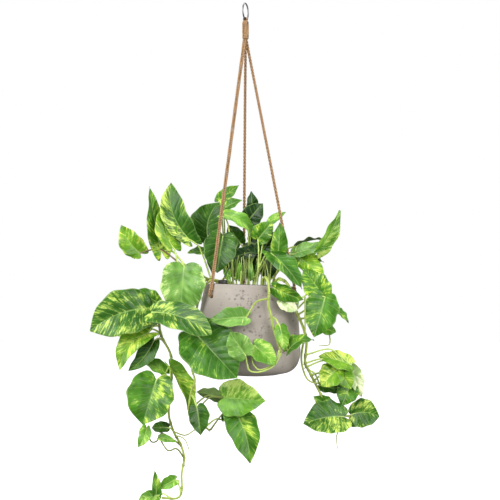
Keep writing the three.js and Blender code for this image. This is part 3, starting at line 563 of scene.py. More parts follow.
class Look(Enum):
    """How a leaf is coloured: its green, the colour of its splashes, and how much they cover."""

    GREEN = ((0.070, 0.240, 0.012), (0.54, 0.72, 0.09), 0.34)
    RICH = ((0.044, 0.170, 0.012), (0.58, 0.75, 0.14), 0.44)
    DEEP = ((0.048, 0.180, 0.012), (0.44, 0.66, 0.08), 0.22)
    DARK = ((0.036, 0.130, 0.009), (0.30, 0.50, 0.05), 0.16)
    # painted shade: leaves deep in the crown, darkened to stand for the shade that falls on them
    IN_SHADE = ((0.017, 0.066, 0.010), (0.12, 0.24, 0.03), 0.12)
    VEINED = ((0.074, 0.250, 0.012), (0.54, 0.74, 0.08), 0.48)
    LIME = ((0.170, 0.420, 0.030), (0.54, 0.73, 0.16), 0.42)
    CREAM = ((0.130, 0.360, 0.024), (0.66, 0.80, 0.24), 0.54)
    GOLD = ((0.190, 0.430, 0.018), (0.66, 0.78, 0.12), 0.50)
    SAGE = ((0.190, 0.400, 0.070), (0.56, 0.72, 0.26), 0.34)
    PALE = ((0.600, 0.740, 0.320), (0.86, 0.89, 0.60), 0.66)
    # painted shade: a leaf darkened to stand for the shade that falls on it
    OLIVE = ((0.105, 0.165, 0.040), (0.20, 0.27, 0.10), 0.30)


class Bark(Enum):
    """The colour of a stem or a stalk."""

    GREEN = (0.360, 0.470, 0.085)
    LIME = (0.520, 0.680, 0.165)
    OLIVE = (0.190, 0.250, 0.055)
    BROWN = (0.190, 0.140, 0.070)


@dataclass
class Leaf:
    """A leaf on its stalk, in millimetres as it shows from the front.

    Attributes:
        name: Sets the phase of the margin's waves.
        at: Where the stalk leaves the stem, as a share of the stem's points.
        base: The base of the blade.
        tip: Its tip.
        width: Its full width.
        face: The way its upper face looks.
        look: How it is coloured.
        arch: How far the midrib bows up, as a share of the length.
        fold: How far the two halves are raised, in degrees.
        wave: The height of the margin's ripples.
        twist: How far the blade turns from base to tip, in degrees.
        sweep: How far the midrib bends sideways, as a share of the length.
        lobe: How far the lobes reach back, as a share of the length.
        rise: How high the stalk arches, as a share of its length.
        full: 0 for a blade drawn out to its tip, 1 for a rounder one that is widest further out.
        via: Points that the stalk passes through.
        bias: How much more the splashes cover one half than the other. With the upper face in view and
            the tip up it is the right half, and with the tip hanging down it shows on the left.
        border: How much more the splashes cover the margin than the middle.
        stalk: The colour of its stalk.
    """

    name: str
    at: float
    base: Point
    tip: Point
    width: float
    face: Point
    look: Look
    arch: float = 0.06
    fold: float = 12
    wave: float = 1.5
    twist: float = 0
    sweep: float = 0
    lobe: float = 0.14
    rise: float = 0.22
    full: float = 0.3
    via: tuple[Point, ...] = ()
    bias: float = 0
    border: float = 0
    stalk: Bark = Bark.LIME


@dataclass
class Vine:
    """A leafy stem.

    Attributes:
        name: The node that it stands for.
        radius: The stem's radius.
        stem: The stem's points, from its root to its end.
        leaves: Its leaves.
        tendrils: Bare shoots, each a row of points.
        shoots: The radius of each at its foot.
        bark: The stem's colour.
    """

    name: str
    radius: float
    stem: tuple[Point, ...]
    leaves: tuple[Leaf, ...]
    tendrils: tuple[tuple[Point, ...], ...] = ()
    shoots: tuple[float, ...] = ()
    bark: Bark = Bark.GREEN


VINES = (
    Vine("vine_upper_left", 2.4, (
        (-60, -16, -34), (-60, -16, -8), (-66, -19, 6), (-82, -24, 11), (-100, -28, 22), (-120, -32, 36),
        (-144, -36, 42),
    ), (
        Leaf("L1", 0.95, (-220, -30, 64), (-258, -36, 120), 46, (0.1, -1, 0.1), Look.GOLD, fold=10,
             sweep=-0.08, full=0.6, border=0.2, stalk=Bark.BROWN),
        Leaf("L2", 0.9, (-178, -32, 68), (-201, -24, 198), 46, (0.5, -0.85, 0.1), Look.VEINED, fold=14,
             twist=-62, sweep=-0.05),
        Leaf("L3", 1.0, (-156, -38, 78), (-170, -28, 162), 48, (0.4, -0.9, 0.1), Look.GOLD, fold=14,
             sweep=-0.12, full=0.5, border=0.15),
        Leaf("L4", 0.45, (-122, -30, 92), (-158, -18, 205), 56, (0.2, -1, 0.1), Look.RICH, fold=18,
             sweep=-0.14, full=1, bias=-0.2, border=0.16),
        Leaf("L5", 0.975, (-132, -40, 38), (-139, -42, -62), 88, (0, -1, 0.25), Look.SAGE, lobe=0.08,
             full=0.9, border=0.35),
    )),
    Vine("vine_left_long", 2.7, (
        (-58, 8, -34), (-58, 8, -8), (-66, 6, 6), (-84, 2, 11), (-104, -8, -2), (-130, -20, -24),
        (-160, -26, -42), (-184, -28, -52), (-182, -30, -76), (-176, -30, -104), (-160, -30, -134),
        (-156, -34, -162), (-158, -34, -210), (-162, -34, -256), (-152, -34, -292), (-138, -34, -318),
        (-131, -36, -344), (-136, -38, -376), (-136, -40, -410), (-146, -42, -424), (-176, -44, -423),
    ), (
        Leaf("L23", 0.32, (-200, -36, -46), (-320, -60, -92), 92, (0.1, -1, 0.2), Look.RICH, sweep=0.08,
             lobe=0.07, full=1, border=-0.06),
        Leaf("L24", 0.3, (-186, -22, -34), (-232, -14, -10), 36, (0.3, -1, 0.2), Look.VEINED),
        Leaf("L25", 0.35, (-196, -64, -54), (-76, -124, -98), 58, (0.25, -1, 0.3), Look.RICH, sweep=-0.06,
             lobe=0.07, full=1.7, border=-0.08),
        Leaf("L33", 0.375, (-188, -22, -58), (-216, -18, -96), 34, (-0.4, -1, 0.2), Look.DARK),
        Leaf("L29", 0.41, (-204, -40, -96), (-260, -50, -172), 48, (-0.4, -1, 0.1), Look.GOLD, sweep=0.16,
             full=0.5),
        Leaf("L30", 0.435, (-208, -30, -94), (-272, -22, -98), 40, (0, -0.9, 0.5), Look.LIME),
        Leaf("L31", 0.46, (-192, -32, -112), (-244, -40, -172), 38, (-0.2, -1, 0.2), Look.DARK, sweep=-0.1),
        Leaf("L32", 0.55, (-168, -30, -176), (-222, -26, -146), 34, (0.2, -0.8, 0.6), Look.LIME, fold=26),
        Leaf("L34", 0.575, (-187, -52, -190), (-214, -76, -278), 92, (0.05, -1, 0.25), Look.GREEN,
             lobe=0.16, full=1, bias=-0.15),
        Leaf("L35", 0.6, (-159, -40, -164), (-118, -50, -276), 52, (0.7, -0.75, 0), Look.GOLD, fold=44,
             sweep=-0.05, full=0.4),
        Leaf("L41", 0.72, (-164, -30, -284), (-196, -26, -284), 25, (0, -0.9, 0.5), Look.DARK, wave=0.6,
             full=1),
        Leaf("L42", 0.75, (-206, -36, -284), (-224, -44, -324), 28, (-0.3, -0.9, 0.3), Look.LIME, wave=0.8,
             sweep=-0.12, via=((-174, -34, -296), (-186, -38, -311), (-198, -40, -310)), stalk=Bark.OLIVE),
        Leaf("L43", 0.8, (-180, -42, -304), (-146, -50, -313), 18, (0, -0.8, 0.6), Look.LIME, fold=20,
             wave=0.5, via=((-146, -46, -326), (-164, -46, -329)), stalk=Bark.OLIVE),
        Leaf("L45", 0.91, (-148, -36, -387), (-182, -40, -405), 26, (0, -0.9, 0.4), Look.LIME, wave=0.8,
             full=0.5),
        Leaf("L44", 1.0, (-186, -44, -423), (-190, -40, -368), 22, (0.3, -1, 0), Look.GREEN, fold=30,
             wave=0.8),
        Leaf("L44b", 0.97, (-184, -46, -419), (-222, -56, -427), 28, (0, -0.9, 0.4), Look.CREAM, wave=0.8,
             full=1),
    ), (
        ((-152, -34, -292), (-129, -40, -299), (-109, -44, -288), (-98, -46, -286)),
        ((-150, -38, -303), (-142, -44, -301), (-129, -46, -309), (-121, -48, -329)),
    ), shoots=(1.5, 1.5)),
    Vine("vine_front_left", 2.4, (
        (-50, -34, -34), (-50, -34, -8), (-58, -37, 6), (-76, -43, 10), (-94, -46, -6), (-104, -40, -36),
        (-112, -36, -80), (-115, -48, -124), (-116, -68, -166), (-110, -72, -192), (-118, -72, -216),
        (-122, -70, -248), (-112, -70, -270), (-96, -68, -278), (-80, -68, -290),
    ), (
        Leaf("L26", 0.5, (-108, -82, -98), (-26, -124, -186), 108, (0.05, -1, 0.15), Look.DEEP, lobe=0.2,
             rise=0, full=0.9, bias=0.04),
        Leaf("L36", 0.79, (-56, -66, -226), (-110, -56, -213), 32, (0, 0.85, 0.5), Look.OLIVE,
             stalk=Bark.OLIVE),
        Leaf("L37", 0.83, (-52, -72, -224), (32, -88, -231), 74, (0, -1, 0.1), Look.LIME, full=0.2,
             bias=-0.25, border=0.1, stalk=Bark.OLIVE),
        Leaf("L38", 1.0, (-30, -74, -252), (0, -84, -356), 62, (0.1, -1, 0.1), Look.GREEN, sweep=-0.07,
             full=0.4, bias=-0.12, stalk=Bark.OLIVE),
        Leaf("L39", 0.96, (-50, -66, -270), (-42, -64, -244), 18, (0, -1, 0), Look.DARK),
        Leaf("L40", 0.72, (-106, -76, -244), (-98, -80, -300), 42, (0.2, -1, 0), Look.DARK),
    )),
    Vine("vine_front", 2.9, (
        (24, -50, -34), (24, -50, -8), (26, -58, 10), (31, -76, 15), (36, -93, 6), (38, -99, -14),
        (37, -101, -40), (42, -103, -60), (46, -106, -82), (56, -107, -116), (63, -107, -134),
    ), (
        Leaf("L27", 0.55, (-8, -107, -64), (-80, -102, -72), 42, (0, -0.9, 0.45), Look.SAGE, full=0.6,
             stalk=Bark.GREEN),
        Leaf("L28", 1.0, (-9, -126, -140), (-40, -132, -94), 48, (0, -1, 0), Look.SAGE, arch=0.02, fold=6,
             full=0.8, via=((48, -112, -160), (22, -116, -173), (0, -116, -171), (-6, -119, -156))),
        Leaf("L52", 0.96, (9, -111, -121), (52, -120, -160), 46, (0.3, -1, 0.3), Look.LIME, full=0.5,
             via=((45, -109, -158), (20, -111, -169), (7, -110, -158), (4, -110, -140))),
        Leaf("L53", 0.72, (60, -106, -84), (70, -108, -132), 30, (0.3, -1, 0), Look.LIME),
        Leaf("L54", 0.92, (76, -104, -130), (128, -96, -110), 44, (-0.3, -0.55, 0.85), Look.VEINED,
             arch=0.2),
    )),
    Vine("vine_right", 2.9, (
        (46, -38, -34), (46, -38, -8), (52, -48, 8), (62, -62, 12), (76, -74, 0), (84, -82, -28),
        (92, -84, -52), (100, -82, -70), (108, -78, -90), (113, -70, -116), (110, -60, -154),
        (118, -52, -172), (132, -44, -200), (146, -38, -226), (162, -30, -244), (182, -26, -258),
        (200, -24, -262),
    ), (
        Leaf("L50", 0.22, (48, -97, -6), (108, -98, -30), 34, (0.1, -0.9, -0.4), Look.VEINED, full=0.4),
        Leaf("L51", 0.26, (62, -92, -30), (96, -92, -54), 30, (0, -1, 0), Look.PALE),
        Leaf("L46", 0.34, (146, -70, -22), (106, -60, 32), 54, (0.3, -0.9, -0.1), Look.VEINED, full=0.5),
        Leaf("L47", 0.37, (150, -74, -24), (128, -88, -104), 68, (0.1, -1, 0.2), Look.GREEN, full=0.7,
             bias=0.1, border=0.1),
        Leaf("L48", 0.4, (172, -66, -50), (197, -66, -76), 28, (0.6, -0.5, 0.6), Look.GREEN, wave=0.6),
        Leaf("L49", 0.43, (146, -62, -86), (172, -62, -94), 24, (0, -1, 0.2), Look.LIME, wave=0.6,
             full=0.6),
        Leaf("L55", 0.6, (200, -40, -158), (136, -52, -142), 40, (0.1, -0.9, 0.5), Look.GOLD, full=0.6,
             bias=0.2),
        Leaf("L56", 0.63, (174, -48, -168), (142, -60, -202), 50, (0, -1, 0.3), Look.GOLD, full=0.8,
             bias=0.2),
        Leaf("L56c", 0.655, (178, -44, -168), (202, -52, -208), 40, (0, -1, 0.3), Look.GOLD, full=0.5),
        Leaf("L57a", 0.68, (140, -40, -200), (196, -36, -206), 26, (0, -0.7, -0.6), Look.DARK),
        Leaf("L57", 0.705, (200, -34, -200), (182, -42, -242), 46, (0, -1, 0.2), Look.GREEN),
        Leaf("L58", 0.73, (202, -28, -166), (222, -34, -224), 34, (0.3, -1, 0), Look.PALE),
        Leaf("L59", 0.86, (158, -36, -240), (126, -38, -222), 30, (0, -1, 0), Look.GREEN, wave=0.8),
        Leaf("L60", 0.93, (186, -40, -262), (106, -62, -277), 72, (0.1, -0.9, 0.45), Look.RICH, sweep=0.04,
             lobe=0.16, full=0.8, bias=-0.1),
        Leaf("L61", 1.0, (202, -26, -258), (258, -34, -262), 58, (0, -1, 0.1), Look.RICH, sweep=-0.12,
             lobe=0.12, full=1, border=0.05),
    ), (
        ((176, -36, -290), (173, -38, -300), (173, -38, -316), (175, -38, -328)),
        ((158, -62, -96), (160, -62, -111), (156, -62, -120), (136, -62, -120)),
        ((108, -72, -108), (103, -74, -138), (104, -68, -160), (112, -60, -184), (124, -56, -194),
         (144, -50, -196)),
        ((110, -94, -22), (110, -96, -60), (110, -90, -100), (108, -80, -118)),
    ), shoots=(1.3, 1.3, 2.3, 1.7)),
    Vine("crown_left", 2.4, (
        (-44, 10, -34), (-44, 10, -8), (-46, 10, 16), (-50, 9, 30),
    ), (
        Leaf("L6", 1.0, (-84, 4, 92), (-62, 0, 166), 68, (-0.2, -0.9, 0.3), Look.DARK, sweep=-0.12, full=1),
        Leaf("L8", 0.92, (-62, 20, 168), (-22, 24, 200), 30, (0.2, -0.8, 0.6), Look.VEINED, wave=0.8),
        Leaf("L9", 0.84, (-54, 8, 152), (-16, 4, 170), 34, (0, -0.7, 0.7), Look.GREEN, wave=0.8),
        Leaf("Lx1", 0.74, (-86, -8, 66), (-126, -12, 64), 30, (0, -0.6, 0.8), Look.GREEN, wave=0.8),
    )),
    Vine("crown_left_front", 2.4, (
        (-34, -22, -34), (-34, -22, -8), (-34, -23, 14), (-33, -24, 26),
    ), (
        Leaf("L7", 1.0, (-54, -30, 98), (-66, -42, 24), 68, (-0.1, -1, 0.3), Look.DARK, full=0.6),
        Leaf("L10", 0.88, (-50, -22, 140), (8, -12, 92), 42, (0.3, -0.7, 0.8), Look.LIME, arch=0.2, full=1),
        Leaf("Lx2", 0.74, (-48, -36, 30), (-40, -46, 4), 14, (0, -1, 0), Look.GREEN),
        Leaf("Y4", 0.62, (-24, -32, 12), (-21, -38, 50), 13, (0.3, -1, 0), Look.LIME, fold=30, wave=0.4),
    ), (
        ((-30, -30, -9), (-35, -32, 20), (-37, -26, 60)),
        ((-26, -27, -9), (-28, -26, 24), (-23, -18, 60)),
        ((-38, -34, -9), (-41, -38, 18), (-44, -34, 52)),
        ((-20, -34, -9), (-18, -38, 18), (-17, -30, 56)),
        ((-42, -14, -9), (-40, -12, 20), (-33, -8, 54)),
    ), shoots=(1.7, 1.7, 1.7, 1.7, 1.7), bark=Bark.LIME),
    Vine("crown_middle", 2.4, (
        (-4, 4, -34), (-4, 4, -8), (-3, 3, 16), (-2, 2, 36),
    ), (
        Leaf("L11", 1.0, (4, 6, 150), (2, 4, 188), 26, (0.3, -1, 0.1), Look.IN_SHADE),
        Leaf("L12", 0.93, (-4, -2, 128), (26, -4, 164), 44, (0, -1, 0.2), Look.IN_SHADE),
        Leaf("D1", 0.86, (6, -6, 66), (-36, -10, 54), 34, (0, -0.8, 0.6), Look.IN_SHADE, wave=0.8, full=0.6),
        Leaf("D2", 0.97, (-2, 6, 86), (42, 2, 66), 42, (0, -0.9, 0.4), Look.IN_SHADE, wave=0.8, full=0.6),
        Leaf("D4", 0.9, (22, 14, 72), (8, 16, 38), 32, (0, -1, 0.1), Look.IN_SHADE, wave=0.8, full=0.8),
        Leaf("D3", 0.8, (-20, 12, 84), (-44, 14, 120), 36, (-0.2, -1, 0.2), Look.DARK, wave=0.8, full=0.5),
        Leaf("Y1", 0.7, (-22, -2, 16), (-30, -4, 54), 13, (0.3, -1, 0), Look.LIME, fold=30, wave=0.4),
        Leaf("Y2", 0.64, (-10, 0, 14), (-8, -8, 56), 14, (-0.4, -1, 0), Look.PALE, fold=30, wave=0.4),
        Leaf("Y3", 0.75, (10, 2, 12), (16, -4, 52), 14, (0.4, -1, 0), Look.LIME, fold=30, wave=0.4),
    ), (
        ((-14, -16, -9), (-15, -18, 20), (-6, -16, 40), (-11, -12, 66)),
        ((6, -20, -9), (6, -22, 24), (2, -14, 62)),
        ((13, -16, -9), (16, -18, 20), (14, -12, 54)),
        ((-8, -26, -9), (-9, -30, 18), (-14, -22, 58)),
        ((0, -30, -9), (-2, -34, 20), (-1, -26, 62)),
    ), shoots=(1.7, 1.7, 1.7, 1.7, 1.7), bark=Bark.LIME),
    Vine("crown_right_front", 2.4, (
        (8, -30, -34), (8, -30, -8), (12, -31, 16), (18, -33, 30),
    ), (
        Leaf("L13", 1.0, (16, -28, 92), (46, -34, 128), 42, (0.1, -1, 0.2), Look.VEINED),
        Leaf("L14", 0.93, (40, -14, 126), (72, -10, 146), 20, (0, -0.8, 0.5), Look.LIME, wave=0.6),
        Leaf("L15", 0.86, (24, -20, 66), (50, -16, 106), 38, (-0.1, -1, 0.2), Look.IN_SHADE, full=0.5),
        Leaf("L16", 0.8, (56, -34, 60), (60, -42, 126), 34, (0.1, -1, 0.1), Look.GREEN, full=0.4),
        Leaf("Y5", 0.64, (4, -40, 12), (3, -46, 46), 13, (-0.3, -1, 0), Look.SAGE, fold=30, wave=0.4),
        Leaf("L17", 0.72, (42, -44, 64), (104, -84, -8), 58, (0.5, -0.8, 0.5), Look.DEEP, bias=0.08),
    ), (
        ((30, -24, -9), (31, -26, 18), (26, -20, 60)),
        ((22, -26, -9), (24, -28, 22), (34, -22, 58)),
        ((36, -30, -9), (37, -34, 16), (31, -28, 46)),
        ((14, -38, -9), (15, -42, 16), (20, -34, 44)),
        ((40, -20, -9), (40, -20, 18), (43, -16, 50)),
    ), shoots=(1.7, 1.7, 1.7, 1.7, 1.7), bark=Bark.LIME),
    Vine("crown_right", 2.4, (
        (44, 2, -34), (44, 2, -8), (48, 1, 14), (54, 0, 26),
    ), (
        Leaf("L18", 1.0, (86, -20, 62), (160, -34, 76), 34, (0, -0.8, 0.6), Look.SAGE, fold=16, lobe=0.06,
             full=0.7),
        Leaf("L19", 0.94, (94, 10, 80), (146, 16, 92), 40, (0, 0.1, 1), Look.IN_SHADE),
        Leaf("L20", 0.88, (136, -30, 66), (180, -36, 150), 44, (0.8, -0.6, 0.2), Look.LIME, full=0.6,
             bias=0.2),
        Leaf("L21", 0.82, (96, -4, 52), (148, -12, 46), 34, (0, -0.7, 0.7), Look.IN_SHADE),
        Leaf("L22", 0.76, (92, -10, 62), (152, -40, 4), 46, (-0.1, -0.8, 0.6), Look.GOLD),
    )),
    Vine("crown_back_left", 2.4, (
        (-18, 34, -34), (-18, 34, -8), (-19, 36, 14), (-21, 39, 26),
    ), (
        Leaf("B1", 1.0, (-42, 54, 72), (-76, 96, 22), 68, (-0.5, 0.7, 0.6), Look.GREEN),
        Leaf("B2", 0.9, (30, 58, 92), (44, 110, 52), 56, (0.1, 0.8, 0.7), Look.VEINED),
        Leaf("B5", 0.8, (-34, 27, 64), (-28, 24, 8), 46, (0, -1, 0.15), Look.IN_SHADE, wave=0.8, full=0.6),
        Leaf("B6", 0.7, (2, 28, 62), (6, 24, 8), 42, (0, -1, 0.15), Look.IN_SHADE, wave=0.8, full=0.6),
    )),
    Vine("crown_back_right", 2.4, (
        (26, 30, -34), (26, 30, -8), (28, 32, 12), (31, 34, 24),
    ), (
        Leaf("B3", 1.0, (38, 52, 72), (66, 100, 26), 66, (0.4, 0.8, 0.6), Look.CREAM),
        Leaf("B4", 0.9, (72, 36, 58), (116, 70, 28), 52, (0.5, 0.4, 0.8), Look.GREEN),
        Leaf("B7", 0.78, (36, 22, 58), (35, 19, 6), 40, (0, -1, 0.15), Look.IN_SHADE, wave=0.8, full=0.6),
    )),
    Vine("vine_back_left", 2.4, (
        (-34, 40, -34), (-34, 40, -8), (-40, 48, 8), (-50, 62, 14), (-58, 76, 4), (-62, 86, -26),
        (-62, 94, -66), (-58, 99, -108), (-50, 98, -150),
    ), (
        Leaf("BL1", 0.55, (-62, 104, -18), (-66, 130, -98), 74, (-0.2, 1, 0.3), Look.VEINED),
        Leaf("BL2", 0.78, (-34, 112, -70), (-18, 124, -150), 54, (0.1, 1, 0.2), Look.CREAM),
        Leaf("BL3", 0.9, (-72, 104, -106), (-66, 112, -168), 44, (-0.2, 1, 0.2), Look.LIME),
    )),
    Vine("vine_back_right", 2.4, (
        (34, 44, -34), (34, 44, -8), (38, 52, 8), (46, 66, 14), (52, 80, 4), (54, 90, -26), (50, 98, -66),
        (44, 102, -108), (40, 100, -146),
    ), (
        Leaf("BR1", 0.55, (58, 104, -12), (64, 128, -92), 72, (0.3, 1, 0.3), Look.CREAM),
        Leaf("BR2", 0.72, (30, 114, -58), (22, 126, -134), 50, (-0.1, 1, 0.2), Look.GREEN),
        Leaf("BR3", 0.88, (66, 104, -100), (58, 112, -164), 46, (0.2, 1, 0.2), Look.VEINED),
    )),
)


@dataclass(frozen=True)
class LeafFinish:
    """The waxy skin of the leaves: green splashed with yellow-green and cream along the side veins.

    Each vertex carries its place on the blade (along the side veins, out from the midrib, and a number of
    its own for the leaf), so the splashes run with the veins and no two leaves match. The level of the
    splashes is the sum of streaks, flecks and patches, each times its share, and of the leaf's own cover.
    """

    rib: Color = (0.40, 0.58, 0.16)
    vein: Color = (0.30, 0.52, 0.10)
    under: Color = (0.27, 0.43, 0.13)
    deep: Color = (0.44, 0.54, 0.42)  # what the green is multiplied by in its deep patches
    streak: Point = (0.26, 0.062, 1.0)  # how fine each noise is, along the veins and out from the midrib
    fleck: Point = (0.95, 0.24, 1.0)
    patch: Point = (0.040, 0.045, 1.0)
    fibre: Point = (1.6, 0.06, 1.0)
    fleck_move: Point = (7.3, 2.1, 4.0)  # moves the noises apart, so that they don't match
    patch_move: Point = (3.0, 9.0, 2.0)
    streak_share: float = 0.55
    fleck_share: float = 0.35
    patch_share: float = 0.55
    half_level: Range = (0.725, 0.785)  # the levels over which the half tone of a splash sets in
    full_level: Range = (0.795, 0.860)  # the same for its whole colour
    deep_level: Range = (0.35, 0.65)
    fibre_level: Range = (0.50, 0.80)
    half_tone: float = 0.38
    fibre_tone: float = 0.16
    vein_width: float = 0.07  # as a share of the way from one side vein to the next
    vein_tone: float = 0.30
    rib_tone: float = 0.60
    rim_tone: float = 0.35
    under_tone: float = 0.35
    roughness: Range = (0.24, 0.36)
    under_matt: float = 0.22  # how much rougher the lower face is
    relief: Range = (0.0003, 0.5)  # how deep in metres, and how strongly it shows

    def material(self) -> Material:
        """Builds the material."""
        shade = Shader("pothos_leaf", Specular_IOR_Level=0.28)
        lay, green, splash = shade.color("lay"), shade.color("green"), shade.color("splash")
        under = shade.value("under")
        streaks = shade.noise(shade.stretched(lay, self.streak), detail=2.0, distortion=0.7)
        flecks = shade.noise(shade.stretched(lay, self.fleck, self.fleck_move), roughness=0.62)
        patches = shade.noise(shade.stretched(lay, self.patch, self.patch_move), detail=2.0)
        fibres = shade.noise(shade.stretched(lay, self.fibre), detail=2.0)
        level = shade.plus(shade.times(streaks, self.streak_share), shade.times(flecks, self.fleck_share))
        level = shade.plus(level, shade.times(patches, self.patch_share))
        level = shade.plus(level, shade.value("cover"))
        deep = shade.mix(1.0, green, self.deep, blend="MULTIPLY")
        ground = shade.mix(shade.between(patches, self.deep_level), deep, green)
        ground = shade.mix(shade.between(fibres, self.fibre_level, (0.0, self.fibre_tone)), ground, splash)
        middle = shade.mix(self.half_tone, ground, splash)
        color = shade.mix(shade.between(level, self.half_level), ground, middle)
        color = shade.mix(shade.between(level, self.full_level), color, splash)
        near = shade.math("PINGPONG", shade.value("beat"), 0.5)
        line = shade.times(shade.between(near, (0.0, self.vein_width), (1.0, 0.0)), shade.value("vein"))
        color = shade.mix(shade.times(line, self.vein_tone), color, self.vein)
        color = shade.mix(shade.times(shade.value("rib"), self.rib_tone), color, self.rib)
        color = shade.mix(shade.times(shade.value("rim"), self.rim_tone), color, self.rib)
        color = shade.mix(shade.times(under, self.under_tone), color, self.under)
        fine = shade.noise(lay, 2.4, roughness=0.6)
        height = shade.plus(shade.times(fine, 0.35), shade.times(fibres, 0.5))
        height = shade.math("SUBTRACT", height, line)
        rough = shade.between(patches, (0.3, 0.7), self.roughness)
        rough = shade.plus(rough, shade.times(under, self.under_matt))
        return shade.finish(color, rough, shade.relief(height, *self.relief))


@dataclass(frozen=True)
class StemFinish:
    """The skin of stems and stalks: streaked green, with brown papery scars at the nodes."""

    scar: Color = (0.135, 0.080, 0.036)
    light: Color = (1.35, 1.25, 1.45)  # what the green is multiplied by in the pale and the dark streaks
    dark: Color = (0.78, 0.84, 0.72)
    streak: Point = (0.9, 0.045, 1.0)  # how fine each noise is, round the stem and along it
    blotch: Point = (0.16, 0.05, 1.0)
    blotch_move: Point = (5.0, 1.0, 8.0)
    streak_level: Range = (0.42, 0.62)
    blotch_level: Range = (0.64, 0.74)
    blotch_tone: float = 0.22
    roughness: float = 0.42
    scar_matt: float = 0.35  # how much rougher a scar is
    relief: Range = (0.0003, 0.6)

    def material(self) -> Material:
        """Builds the material."""
        shade = Shader("pothos_stem", Specular_IOR_Level=0.4)
        lay, green, scar = shade.color("lay"), shade.color("green"), shade.value("scar")
        streaks = shade.noise(shade.stretched(lay, self.streak))
        blotches = shade.noise(shade.stretched(lay, self.blotch, self.blotch_move))
        light = shade.mix(1.0, green, self.light, blend="MULTIPLY")
        dark = shade.mix(1.0, green, self.dark, blend="MULTIPLY")
        color = shade.mix(shade.between(streaks, self.streak_level), dark, light)
        blotched = shade.between(blotches, self.blotch_level, (0.0, self.blotch_tone))
        color = shade.mix(blotched, color, self.scar)
        color = shade.mix(scar, color, self.scar)
        height = shade.plus(streaks, shade.times(scar, blotches))
        rough = shade.plus(self.roughness, shade.times(scar, self.scar_matt))
        return shade.finish(color, rough, shade.relief(height, *self.relief))


@dataclass(frozen=True)
class CementFinish:
    """Cast warm grey cement: cloudy, faintly layered, speckled with sand and pricked with air holes, which
    are darkened with painted shade.

    A scale is in lumps to a metre, here and in the finishes below.
    """

    pale: Color = (0.420, 0.376, 0.332)
    dark: Color = (0.345, 0.306, 0.266)
    # painted shade: the colour that darkens the air pits and the cords' holes
    pit: Color = (0.120, 0.105, 0.090)
    sand: Color = (0.250, 0.220, 0.190)
    cloud_scale: float = 14.0
    cloud_squash: Point = (1.0, 1.0, 1.6)
    layer_scale: Point = (3.0, 3.0, 60.0)
    grain_scale: float = 900.0
    hole_scale: float = 230.0
    cluster_scale: float = 55.0
    cloud_level: Range = (0.35, 0.68)
    layer_level: Range = (0.50, 0.75)
    grain_level: Range = (0.56, 0.70)
    cluster_level: Range = (0.52, 0.60)  # air holes are pricked only where the clusters are
    hole_size: Range = (0.10, 0.20)  # from a hole's floor to its edge, as a share of their distance
    layer_tone: float = 0.35
    grain_tone: float = 0.35
    # how strongly painted shade darkens the air holes
    hole_shade_tone: float = 0.75
    roughness: Range = (0.86, 0.96)
    relief: Range = (0.0004, 0.8)

    def material(self) -> Material:
        """Builds the material."""
        shade = Shader("cast_cement", Specular_IOR_Level=0.25)
        place = shade.place()
        clouds = shade.noise(shade.stretched(place, self.cloud_squash), self.cloud_scale, 6.0, 0.6)
        layers = shade.noise(shade.stretched(place, self.layer_scale))
        grain = shade.noise(place, self.grain_scale, roughness=0.7)
        color = shade.mix(shade.between(clouds, self.cloud_level), self.dark, self.pale)
        color = shade.mix(shade.between(layers, self.layer_level, (0.0, self.layer_tone)), color, self.pale)
        color = shade.mix(shade.between(grain, self.grain_level, (0.0, self.grain_tone)), color, self.sand)
        holes = shade.between(shade.cells(place, self.hole_scale), self.hole_size, (1.0, 0.0))
        clusters = shade.between(shade.noise(place, self.cluster_scale, 2.0), self.cluster_level)
        prick = shade.times(holes, clusters)
        # painted shade in the air holes
        color = shade.mix(shade.times(prick, self.hole_shade_tone), color, self.pit)
        # painted shade in the modelled pits and in the cords' holes
        color = shade.mix(shade.value("pit"), color, self.pit)
        height = shade.math("SUBTRACT", shade.times(grain, 0.35), prick)
        height = shade.plus(height, shade.times(clouds, 0.5))
        rough = shade.between(clouds, (0.3, 0.7), self.roughness)
        return shade.finish(color, rough, shade.relief(height, *self.relief))


@dataclass(frozen=True)
class CordFinish:
    """Waxed tan fibre, each strand laid from fine yarns that wind round it, with painted shade in the grooves
    between the yarns and on the cord in its hole.
    """

    pale: Color = (0.445, 0.270, 0.135)
    # painted shade in the grooves between yarns, and also the colour of the real blotches
    dark: Color = (0.095, 0.046, 0.021)
    # painted shade on the cord in its hole and on the knot
    end: Color = (0.060, 0.026, 0.014)
    lay_length: float = 3.6  # the map's length of one turn of a yarn, in millimetres
    blotch: Range = (6.0, 0.16)  # how fine the blotches are, round the strand and along it
    hair_scale: float = 2600.0
    yarn_level: Range = (0.04, 0.22)  # from the groove between two yarns, darkened with painted shade, up to their side
    blotch_level: Range = (0.42, 0.72)
    hair_level: Range = (0.55, 0.75)
    blotch_tone: float = 0.45
    hair_tone: float = 0.25
    roughness: float = 0.72
    relief: Range = (0.0005, 0.8)

    def material(self) -> Material:
        """Builds the material."""
        shade = Shader("waxed_cord", Specular_IOR_Level=0.25)
        around, along = shade.node("SeparateXYZ", {0: shade.map()}).outputs[:2]
        turn = shade.plus(around, shade.times(along, 1 / self.lay_length))
        yarn = shade.math("PINGPONG", turn, 0.5)
        wide = shade.joined(shade.times(around, self.blotch[0]), shade.times(along, self.blotch[1]))
        blotch = shade.noise(wide, detail=4.0)
        hair = shade.noise(shade.place(), self.hair_scale, 2.0)
        # painted shade in the grooves between yarns
        color = shade.mix(shade.between(yarn, self.yarn_level), self.dark, self.pale)
        color = shade.mix(shade.between(blotch, self.blotch_level, (0.0, self.blotch_tone)), color, self.dark)
        color = shade.mix(shade.between(hair, self.hair_level, (0.0, self.hair_tone)), color, self.pale)
        # painted shade where the cord lies in its hole
        color = shade.mix(shade.value("end"), color, self.end)
        height = shade.plus(yarn, shade.times(hair, 0.3))
        return shade.finish(color, self.roughness, shade.relief(height, *self.relief))


